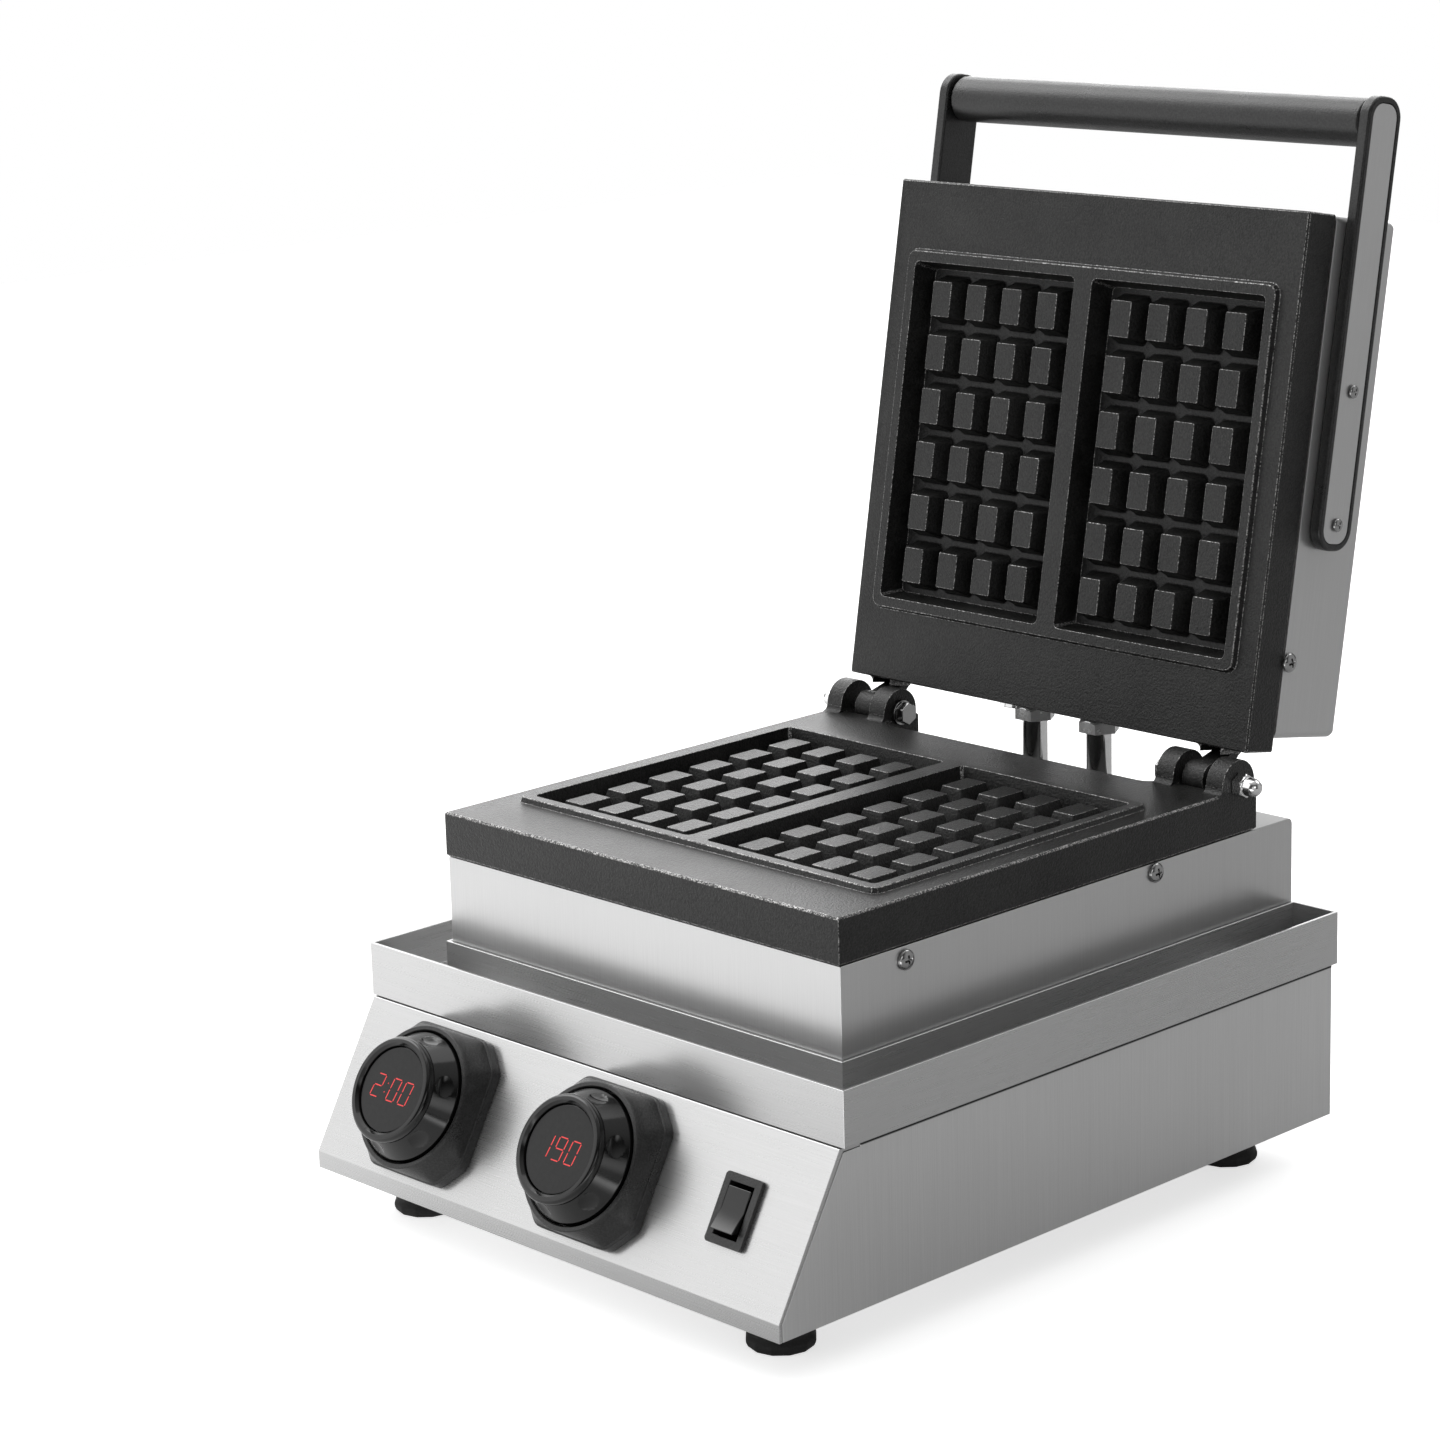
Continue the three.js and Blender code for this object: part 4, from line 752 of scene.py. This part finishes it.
# %% Cutting and doming
def carve(form, cutter):
    """Cuts one form out of another with an exact Boolean, and gives a mesh."""
    target = link_object("target", mesh_of(form, "target"))
    tool = link_object("tool", mesh_of(cutter, "tool"))
    cut = target.modifiers.new("cut", "BOOLEAN")
    cut.operation = "DIFFERENCE"
    cut.solver = "EXACT"
    cut.object = tool
    mesh = evaluated_mesh(target)
    bpy.data.objects.remove(tool)
    return mesh


def dome(radius, height, steps, crown):
    """Profile points over a dome: a rim at the given height that rounds in to a crown."""
    points = []
    for step in range(steps):
        angle = step / steps * math.pi / 2
        points.append((radius * math.cos(angle), height + crown * math.sin(angle)))
    return points + [(0, height + crown)]

# %% One cross-recess screw head
HEAD_RADIUS, HEAD_RIM, HEAD_CROWN = 4.45 * MM, 0.7 * MM, 1.65 * MM
HEAD_TOP = HEAD_RIM + HEAD_CROWN
SHANK_RADIUS, SHANK_LENGTH = 1.8 * MM, 1.5 * MM
CROSS_LENGTH, CROSS_WIDTH, CROSS_DEPTH = 5.0 * MM, 1.05 * MM, 2.0 * MM
BREAK = 0.2 * MM


def cross_cutter(top):
    """A plus-shaped prism that narrows downwards."""
    rings = []
    for z, reach, slot in (
            (top - CROSS_DEPTH, 0.45 * CROSS_LENGTH, 0.7 * CROSS_WIDTH),
            (top, CROSS_LENGTH, CROSS_WIDTH)):
        a, b = reach / 2, slot / 2
        rings.append([
            (c * x - s * y, s * x + c * y, z)
            for c, s in ((1, 0), (0, 1), (-1, 0), (0, -1)) for x, y in ((a, -b), (a, b), (b, b))])
    return loft(rings, capped=True)[0]


def cross_head():
    profile = [
        (0, -SHANK_LENGTH), (SHANK_RADIUS, -SHANK_LENGTH), (SHANK_RADIUS, 0),
        (HEAD_RADIUS - BREAK, 0), (HEAD_RADIUS, BREAK), *dome(HEAD_RADIUS, HEAD_RIM, 7, HEAD_CROWN)]
    return carve(revolve(profile, 40), cross_cutter(HEAD_TOP + 0.1 * MM))


head_source = link_object("cross_head", cross_head())
print("screw head", len(head_source.data.polygons), "faces")

# %% Screws set by Geometry Nodes
HEAD_HEIGHT, ARM_HEAD_HEIGHT, ARM_HEAD_SIZE = 2.4 * MM, 1.6 * MM, 0.68


def screw_tree():
    """Puts the head on each point, facing along the point's own direction, with a seeded spin."""
    tree, given, made = start_scatter("set_screws", [
        ("Places", "Object"), ("Head", "Object"), ("Size", "Float"), ("Seed", "Int")])
    facing = add_node(
        tree, "GeometryNodeInputNamedAttribute", {"Name": "facing"}, data_type="FLOAT_VECTOR")
    align = add_node(
        tree, "FunctionNodeAlignRotationToVector", {"Vector": facing.outputs["Attribute"]},
        axis="Z")
    spin = add_node(
        tree, "FunctionNodeRandomValue", {3: math.pi / 2, "Seed": given["Seed"]},
        data_type="FLOAT")
    about = add_node(tree, "FunctionNodeAxisAngleToRotation", {"Angle": spin.outputs[1]})
    turn = add_node(
        tree, "FunctionNodeRotateRotation",
        {"Rotation": align.outputs[0], "Rotate By": about.outputs[0]}, rotation_space="LOCAL")
    end_scatter(tree, given, made, {
        "Points": geometry_of(tree, given["Places"]), "Instance": geometry_of(tree, given["Head"]),
        "Rotation": turn.outputs[0], "Scale": given["Size"]})
    return tree


def points_object(name, places):
    """A mesh of loose points with a facing direction on each."""
    mesh = bpy.data.meshes.new(name)
    mesh.from_pydata([place for place, _ in places], [], [])
    facing = mesh.attributes.new("facing", "FLOAT_VECTOR", "POINT").data
    facing.foreach_set("vector", [value for _, direction in places for value in direction])
    return link_object(name, mesh)


def seat_of(node):
    """Where a side screw's head meets its wall, and the way that it faces."""
    low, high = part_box(node)
    middle = (Vector(low) + Vector(high)) / 2
    side = 1 if middle.x > 0 else -1
    outer = high[0] if side > 0 else low[0]
    head = HEAD_HEIGHT if "handle" not in node else ARM_HEAD_HEIGHT
    return Vector((outer - side * head, middle.y, middle.z)), Vector((side, 0, 0))


screws = screw_tree()
for name, start, size, seed in (
        ("housing_screws", "housing_screw", 1.0, 7), ("cover_screws", "cover_screw", 1.0, 12),
        ("arm_screws", "handle_screw", ARM_HEAD_SIZE, 3)):
    nodes = [node for node in frame["nodes"] if node.startswith(start)]
    places = points_object(name + "_places", [seat_of(node) for node in nodes])
    mesh = run_tree(screws, {
        "Places": places, "Head": head_source, "Size": size, "Seed": seed,
        "Finish": screw_steel}, name)
    bpy.data.objects.remove(places)
    bm = bmesh.new()
    bm.from_mesh(mesh)
    make_piece(
        bm, name, screw_steel, body_of_node[nodes[0]], tuple(nodes), smooth=math.radians(40))
bpy.data.objects.remove(head_source)

# %% [markdown]
# The hinge nuts are capped nuts: a hexagon whose corners are turned off, with a dome. The lid
# stops are hexagon heads on spacer sleeves.

# %% Hexagons with turned-off corners
HEXAGON_STEPS = 48
HEXAGON_SMOOTH = math.radians(28)
TURN_TO_FLAT = Matrix.Rotation(math.pi / 6, 4, "Z")


def hexagon(corner_radius, height, chamfer):
    """A hexagon prism whose top corners are cut back by a shallow cone, as on a bolt head."""
    flat = corner_radius * math.cos(math.pi / 6)
    columns = []
    for i in range(HEXAGON_STEPS):
        angle = 2 * math.pi * i / HEXAGON_STEPS
        around = (angle + math.pi / 6) % (math.pi / 3) - math.pi / 6
        reach = flat / math.cos(around)
        drop = (reach - flat) * math.tan(math.pi / 6)
        columns.append([polar(radius, angle, z) for radius, z in (
            (reach, 0), (reach, height - chamfer - drop),
            (reach - 0.35 * chamfer - 0.3 * (reach - flat), height - 0.25 * chamfer - 0.8 * drop),
            (flat - 1.6 * chamfer, height))])
    return loft(list(zip(*columns)), capped=True)[0]


def merged(parts):
    """Several (bmesh, matrix) forms in one bmesh."""
    whole = bmesh.new()
    for bm, matrix in parts:
        bm.transform(matrix)
        mesh = mesh_of(bm, "part")
        whole.from_mesh(mesh)
        bpy.data.meshes.remove(mesh)
    return whole

# %% Capped nuts and hinge bolts
NUT_CORNER, NUT_HEIGHT, NUT_CHAMFER = 5.65 * MM, 5.0 * MM, 0.5 * MM
DOME_RADIUS = 4.3 * MM
for side, label in ((-1, "left"), (1, "right")):
    low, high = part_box(f"acorn_nut_{label}")
    seat = low[0] if side > 0 else high[0]
    axis_y, axis_z = (low[1] + high[1]) / 2, (low[2] + high[2]) / 2
    cap = [
        (0, 0), (DOME_RADIUS - BREAK, 0), (DOME_RADIUS, BREAK),
        *dome(DOME_RADIUS, high[0] - low[0] - DOME_RADIUS, 9, DOME_RADIUS)]
    facing = Matrix.Translation((seat, axis_y, axis_z))
    facing = facing @ Matrix.Rotation(side * math.pi / 2, 4, "Y")
    bm = merged([
        (hexagon(NUT_CORNER, NUT_HEIGHT, NUT_CHAMFER), facing @ TURN_TO_FLAT),
        (revolve(cap, 36), facing)])
    make_piece(
        bm, f"capped_nut_{label}", chrome, "base", (f"acorn_nut_{label}",), smooth=HEXAGON_SMOOTH)
    dress(f"hinge_pin_{label}", f"hinge_bolt_{label}", 0.25 * MM)

# %% Lid stops
STOP_CORNER, STOP_HEAD, STOP_CHAMFER = 9.9 * MM, 6.3 * MM, 0.8 * MM
STOP_SHANK = 2.5 * MM
for label in ("left", "right"):
    low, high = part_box(f"stop_bolt_{label}")
    centre_x, centre_y = (low[0] + high[0]) / 2, (low[1] + high[1]) / 2
    seat = high[2] - STOP_HEAD
    shank = [(0, low[2]), (STOP_SHANK, low[2]), (STOP_SHANK, seat), (0, seat)]
    bm = merged([
        (hexagon(min((high[1] - low[1]) / 2, STOP_CORNER), STOP_HEAD, STOP_CHAMFER),
         Matrix.Translation((centre_x, centre_y, seat)) @ TURN_TO_FLAT),
        (revolve(shank, 20), Matrix.Translation((centre_x, centre_y, 0)))])
    make_piece(
        bm, f"stop_head_{label}", zinc, "base", (f"stop_bolt_{label}",), smooth=HEXAGON_SMOOTH)
    dress(f"spacer_{label}", f"stop_sleeve_{label}", 0.35 * MM)

# %% [markdown]
# ## Knobs and their bezels
#
# Each knob turns in an octagonal bezel that closes to a round mouth. Its rim is a ring with six
# finger hollows behind it, and the display in the middle stays still. All of it is made flat in
# the panel's own frame, then laid on the slope.

# %% The panel's frame
PANEL_ANGLE = math.radians(29.6)
PANEL_SETBACK = 0.8 * MM
KNOB_DOWN = 36.9 * MM
_, panel_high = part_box("control_panel")
panel_top_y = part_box("drip_tray")[0][1] - PANEL_SETBACK
panel_frame = Matrix.Translation((0, panel_top_y, panel_high[2]))
panel_frame = panel_frame @ Matrix.Rotation(math.pi / 2 - PANEL_ANGLE, 4, "X")
knob_places = {
    label: panel_frame @ Matrix.Translation((x, -KNOB_DOWN, 0.0))
    for label, x in (("timer", -84.7 * MM), ("temperature", 25.2 * MM))}

# %% Bezels
BEZEL_WIDTH, BEZEL_CHAMFER, BEZEL_STEPS = 67.2 * MM, 11.9 * MM, 144
BEZEL_BASE, BEZEL_RISE, BEZEL_GAP = 5.0 * MM, 10.0 * MM, 0.3 * MM
BEZEL_TOP = BEZEL_BASE + BEZEL_RISE
BEZEL_ROUND, MOUTH_ROUND = 0.7 * MM, 0.4 * MM
MOUTH_RADIUS, BORE_RADIUS, STEM_BORE, RECESS = 32.3 * MM, 29.9 * MM, 9.6 * MM, 9.0 * MM
SHOULDER_STEPS = 10
SHOULDER_BEND = 0.3
CORNER_POWER = 40.0


def octagon_reach(angle, shrink):
    """How far the octagon reaches at an angle. The power leaves a small round at each corner."""
    c, s = abs(math.cos(angle)), abs(math.sin(angle))
    half = BEZEL_WIDTH / 2 - shrink
    sides = half / max(c, 1e-6), half / max(s, 1e-6), (2 * half - BEZEL_CHAMFER) / (c + s)
    return sum(side ** -CORNER_POWER for side in sides) ** (-1 / CORNER_POWER)


def bezel():
    """A loft of rings: straight octagon sides, a small round, a swept shoulder, the round mouth."""
    angles = [2 * math.pi * (i + 0.5) / BEZEL_STEPS for i in range(BEZEL_STEPS)]
    levels = [
        (BEZEL_GAP, 0.0, 0.0), (BEZEL_BASE - 0.6 * MM, 0.0, 0.0),
        (BEZEL_BASE - 0.15 * MM, 0.25 * MM, 0.0), (BEZEL_BASE + 0.1 * MM, BEZEL_ROUND, 0.0)]
    for step in range(1, SHOULDER_STEPS + 1):
        share = step / SHOULDER_STEPS
        levels.append((BEZEL_BASE + (BEZEL_RISE - MOUTH_ROUND) * share, BEZEL_ROUND, share))
    rings = []
    for z, shrink, share in levels:
        ease = share * share * (3 - 2 * share) * SHOULDER_BEND + share * (1 - SHOULDER_BEND)
        rings.append([
            polar(octagon_reach(angle, shrink) * (1 - ease) + MOUTH_RADIUS * ease, angle, z)
            for angle in angles])
    for radius, z in (
            (MOUTH_RADIUS - 0.5 * MM, BEZEL_TOP), (BORE_RADIUS + MOUTH_ROUND, BEZEL_TOP),
            (BORE_RADIUS, BEZEL_TOP - MOUTH_ROUND), (BORE_RADIUS, BEZEL_TOP - RECESS),
            (STEM_BORE, BEZEL_TOP - RECESS), (STEM_BORE, BEZEL_GAP)):
        rings.append([polar(radius, angle, z) for angle in angles])
    return loft(rings, closed=True)[0]

# %% Knobs
KNOB_LENGTH = 29.2 * MM
SKIRT_RADIUS, NECK_RADIUS = 29.0 * MM, 22.9 * MM
RING_RADIUS, RING_BORE, RING_FOOT = 23.7 * MM, 19.4 * MM, 25.0 * MM
WINDOW_SEAT, STEM_HOLE = 23.4 * MM, 9.8 * MM
HOLLOWS, HOLLOW_TURN, HOLLOW_TILT = 6, 1 / 3, math.radians(35)
HOLLOW_SIZE, HOLLOW_PLACE = Vector((7.0, 10.0, 4.3)) * MM, Vector((29.5, 0, 21.2)) * MM


def knob_form():
    """The knob without its pockets: a skirt in the bezel's mouth, a cone above it, and the ring."""
    base = BEZEL_TOP - RECESS + BEZEL_GAP
    shelf = BEZEL_TOP + 1.0 * MM
    steps = [
        (STEM_HOLE, base, 0, 0), (SKIRT_RADIUS, base, -0.3, 0), (SKIRT_RADIUS, base, 0, 0.3),
        (SKIRT_RADIUS, shelf, 0, -0.6), (SKIRT_RADIUS, shelf, -0.3, 0),
        (NECK_RADIUS, RING_FOOT, 0, -0.6), (RING_RADIUS, RING_FOOT, -0.3, -0.1),
        (RING_RADIUS, RING_FOOT, 0, 0.4), (RING_RADIUS, KNOB_LENGTH, 0, -1.6),
        (RING_RADIUS, KNOB_LENGTH, -0.4, -0.7), (RING_RADIUS, KNOB_LENGTH, -1.1, -0.15),
        (RING_RADIUS, KNOB_LENGTH, -1.8, 0), (RING_BORE, KNOB_LENGTH, 1.3, 0),
        (RING_BORE, KNOB_LENGTH, 0.3, -1.1), (RING_BORE, KNOB_LENGTH, 0, -1.6),
        (RING_BORE, WINDOW_SEAT, 0, 0), (STEM_HOLE, WINDOW_SEAT, 0, 0)]
    profile = [(radius + out * MM, z + rise * MM) for radius, z, out, rise in steps]
    return revolve(profile, 96, closed=True)


def hollow_cutter():
    """Six rounded pockets round the cone, each an egg that lies along the rim."""
    bm = bmesh.new()
    for i in range(HOLLOWS):
        turn = (i + HOLLOW_TURN) / HOLLOWS * 2 * math.pi
        egg = bmesh.ops.create_uvsphere(bm, u_segments=32, v_segments=20, radius=1.0)["verts"]
        bmesh.ops.scale(bm, verts=egg, vec=HOLLOW_SIZE)
        bmesh.ops.rotate(bm, verts=egg, matrix=Matrix.Rotation(HOLLOW_TILT, 3, "Y"))
        bmesh.ops.translate(bm, verts=egg, vec=HOLLOW_PLACE)
        bmesh.ops.rotate(bm, verts=egg, matrix=Matrix.Rotation(turn, 3, "Z"))
    return bm


knob_mesh = carve(knob_form(), hollow_cutter())
print("knob", len(knob_mesh.polygons), "faces")

# %% Place bezels and knobs
for label, place in knob_places.items():
    bm = bezel()
    bm.transform(place)
    make_piece(bm, f"{label}_surround", matte_black, "base", (f"{label}_bezel",))
    bm = bmesh.new()
    bm.from_mesh(knob_mesh)
    bm.transform(place)
    make_piece(
        bm, f"{label}_ring", gloss_black, f"{label}_knob", (f"{label}_knob",),
        smooth=math.radians(36))

# %% [markdown]
# The display is a smoked disc with red digits of seven segments behind it. The number is a plain
# time or a plain temperature. Each segment is a thin hexagonal bar, sheared a little to the right.

# %% Display discs
DISPLAY_RADIUS, DISPLAY_STEM, DISPLAY_END = 19.0 * MM, 9.0 * MM, -6.0 * MM
DISPLAY_FRONT = KNOB_LENGTH - 2.0 * MM
DISPLAY_BACK = DISPLAY_FRONT - 3.2 * MM
for label, place in knob_places.items():
    disc = [
        (0, DISPLAY_END), (DISPLAY_STEM, DISPLAY_END), (DISPLAY_STEM, DISPLAY_BACK),
        (DISPLAY_RADIUS, DISPLAY_BACK), (DISPLAY_RADIUS, DISPLAY_FRONT - 0.4 * MM),
        (DISPLAY_RADIUS - 0.1 * MM, DISPLAY_FRONT - 0.1 * MM),
        (DISPLAY_RADIUS - 0.4 * MM, DISPLAY_FRONT), (0, DISPLAY_FRONT)]
    bm = revolve(disc, 72)
    bm.transform(place)
    make_piece(bm, f"{label}_window", smoked_window, "base", (f"{label}_display",))

# %% Seven-segment digits
SEGMENTS = {"0": "abcdef", "1": "bc", "2": "abged", "9": "abcdfg"}
SEGMENT_LINES = {
    "a": ((0, 2), (1, 2)), "b": ((1, 1), (1, 2)), "c": ((1, 0), (1, 1)), "d": ((0, 0), (1, 0)),
    "e": ((0, 0), (0, 1)), "f": ((0, 1), (0, 2)), "g": ((0, 1), (1, 1))}
DIGIT_WIDTH, DIGIT_HEIGHT, DIGIT_STEP = 5.0 * MM, 10.2 * MM, 8.0 * MM
BAR, BAR_GAP, SLANT, DIGIT_RISE = 0.5 * MM, 0.3 * MM, 0.16, 0.06 * MM
COLON_STEP = DIGIT_STEP / 3
COLON_BAR, COLON_REACH = 1.5 * BAR, 1.3 * BAR


def add_bar(bm, start, end, width, z):
    """A flat hexagonal bar between two points."""
    start, end = Vector(start), Vector(end)
    along = (end - start).normalized()
    across = Vector((-along.y, along.x)) * width / 2
    start, end = start + along * BAR_GAP, end - along * BAR_GAP
    tip = along * width / 2
    outline = [
        start, start + tip - across, end - tip - across, end, end - tip + across,
        start + tip + across]
    rings = [[(p.x + SLANT * p.y, p.y, level) for p in outline] for level in (z - DIGIT_RISE, z)]
    loft(rings, capped=True, bm=bm)


def digits(text, z):
    bm = bmesh.new()
    wide = sum(DIGIT_STEP if mark != ":" else COLON_STEP for mark in text)
    x = -wide / 2 + (DIGIT_STEP - DIGIT_WIDTH) / 2
    for mark in text:
        if mark == ":":
            for y in (-DIGIT_HEIGHT / 5, DIGIT_HEIGHT / 5):
                add_bar(bm, (x - COLON_REACH, y), (x + COLON_REACH, y), COLON_BAR, z)
            x += COLON_STEP
            continue
        for segment in SEGMENTS[mark]:
            start, end = [
                (x + column * DIGIT_WIDTH, (row - 1) * DIGIT_HEIGHT / 2)
                for column, row in SEGMENT_LINES[segment]]
            add_bar(bm, start, end, BAR, z)
        x += DIGIT_STEP
    return bm


for label, text in (("timer", "2:00"), ("temperature", "190")):
    bm = digits(text, DISPLAY_FRONT + DIGIT_RISE)
    bm.transform(knob_places[label])
    make_piece(bm, f"{label}_digits", digit_red, "base")

# %% [markdown]
# ## Feet and glands
#
# The feet are turned rubber, and the glands are ribbed nuts on threaded bodies. They get rounded
# copies of their solids.

# %% Feet, glands and bottom
for node in frame["nodes"]:
    if node.startswith("foot_"):
        dress(node + "_rubber", node, 0.6 * MM)
    elif node.endswith("_gland"):
        dress(node + "_fitting", node, 0.3 * MM)
dress("underside", "bottom_plate", 0.3 * MM)

# %% [markdown]
# ## Studio
#
# The machine stands on a pale floor in front of a white background. Camera rays see white there,
# while the floor keeps the object's shadow. Polished sheet shows the floor that it faces, so the
# floor glows towards the front left for glossy rays, as a white card laid there would. A small
# bright patch in front of the right corner draws the thin line of light on every upright bend.

# %% Floor
FLOOR_SIZE = 6.0
CARD_SIDE, SPOT_PLACE = (-0.7, -0.7, 0.0), (0.40, -0.42, 0.0)


def studio_floor():
    material = bpy.data.materials.new("studio_floor")
    material.use_nodes = True
    tree = material.node_tree
    tree.nodes.clear()

    def shader(kind, values):
        return add_node(tree, kind, values).outputs[0]

    place = add_node(tree, "ShaderNodeTexCoord").outputs["Object"]
    rays = add_node(tree, "ShaderNodeLightPath").outputs
    card = ranged(
        tree, measure(tree, "DOT_PRODUCT", place, CARD_SIDE), -0.1, 0.55, 0.1, 1.08,
        interpolation_type="SMOOTHSTEP")
    spot = ranged(
        tree, measure(tree, "DISTANCE", place, SPOT_PLACE), 0.28, 0.08, 0.0, 2.5,
        interpolation_type="SMOOTHSTEP")
    pale = shader("ShaderNodeBsdfDiffuse", {"Color": rgba(0.82)})
    dim = shader("ShaderNodeBsdfDiffuse", {"Color": rgba(0.28)})
    white = shader("ShaderNodeEmission", {"Color": rgba(1.0), "Strength": 0.66})
    glow = shader(
        "ShaderNodeEmission", {"Color": rgba(1.0), "Strength": calc(tree, "ADD", card, spot)})
    shown = shader("ShaderNodeAddShader", {0: pale, 1: white})
    mirrored = shader("ShaderNodeAddShader", {0: dim, 1: glow})
    for_glossy = shader(
        "ShaderNodeMixShader", {"Fac": rays["Is Glossy Ray"], 1: dim, 2: mirrored})
    chosen = shader(
        "ShaderNodeMixShader", {"Fac": rays["Is Camera Ray"], 1: for_glossy, 2: shown})
    add_node(tree, "ShaderNodeOutputMaterial", {"Surface": chosen})
    return material


bm = bmesh.new()
bmesh.ops.create_grid(bm, x_segments=1, y_segments=1, size=FLOOR_SIZE / 2)
floor = link_object("floor", mesh_of(bm, "floor"))
floor.data.materials.append(studio_floor())
print("floor", FLOOR_SIZE, "m")

# %% [markdown]
# The room is dim, with soft round patches of light that only reflections and the machine's own
# surfaces see. Each patch has a direction, the cosines at which it starts and is full, and a
# strength. Camera rays see a plain white backdrop.

# %% World
ROOM_DIM = 0.06
ROOM_PATCHES = {
    "front left": ((-0.70, -0.57, 0.43), 0.55, 0.93, 0.4),
    "back left, the sheen on the castings": ((-0.70, 0.67, 0.26), 0.68, 0.93, 2.8),
    "back right, low": ((0.70, 0.70, 0.10), 0.70, 0.97, 0.4),
    "front right, low": ((0.75, -0.65, 0.12), 0.88, 0.985, 0.6),
    "high left": ((-0.70, -0.15, 0.70), 0.93, 0.985, 3.6),
    "right, narrow": ((0.86, -0.35, 0.32), 0.95, 0.99, 1.6),
    "high at the back": ((0.24, 0.66, 0.70), 0.93, 0.985, 2.0),
    "overhead": ((0.0, 0.1, 0.99), 0.5, 1.0, 0.5)}
world = bpy.data.worlds.new("studio")
world.use_nodes = True
scene.world = world
tree = world.node_tree
tree.nodes.clear()
rays = add_node(tree, "ShaderNodeLightPath").outputs
direction = add_node(tree, "ShaderNodeTexCoord").outputs["Generated"]
total = ROOM_DIM
for middle, start, full, strength in ROOM_PATCHES.values():
    patch = ranged(
        tree, measure(tree, "DOT_PRODUCT", direction, middle), start, full, 0.0, strength,
        interpolation_type="SMOOTHSTEP")
    total = calc(tree, "ADD", total, patch)
room, backdrop = [
    add_node(tree, "ShaderNodeBackground", {"Color": rgba(1.0), "Strength": strength}).outputs[0]
    for strength in (total, 1.0)]
seen = calc(tree, "MAXIMUM", rays["Is Camera Ray"], rays["Is Transmission Ray"])
chosen = add_node(tree, "ShaderNodeMixShader", {"Fac": seen, 1: room, 2: backdrop}).outputs[0]
add_node(tree, "ShaderNodeOutputWorld", {"Surface": chosen})
print("patches of light", len(ROOM_PATCHES))

# %% Lamps
LAMPS = {
    "key": ((-1.5, -2.1, 1.3), 3.0, 26.0),
    "top": ((-0.5, 0.1, 2.3), 1.6, 9.0)}
target = Vector((0, 0, cad_box[1][2] / 2))
for name, (place, size, power) in LAMPS.items():
    data = bpy.data.lights.new(name, "AREA")
    data.shape = "SQUARE"
    data.size = size
    data.energy = power
    aim = (target - Vector(place)).to_track_quat("-Z", "Y")
    lamp = link_object(name, data)
    lamp.matrix_world = Matrix.Translation(place) @ aim.to_matrix().to_4x4()
scene.view_settings.view_transform = "Standard"
print("lamps", len(LAMPS))
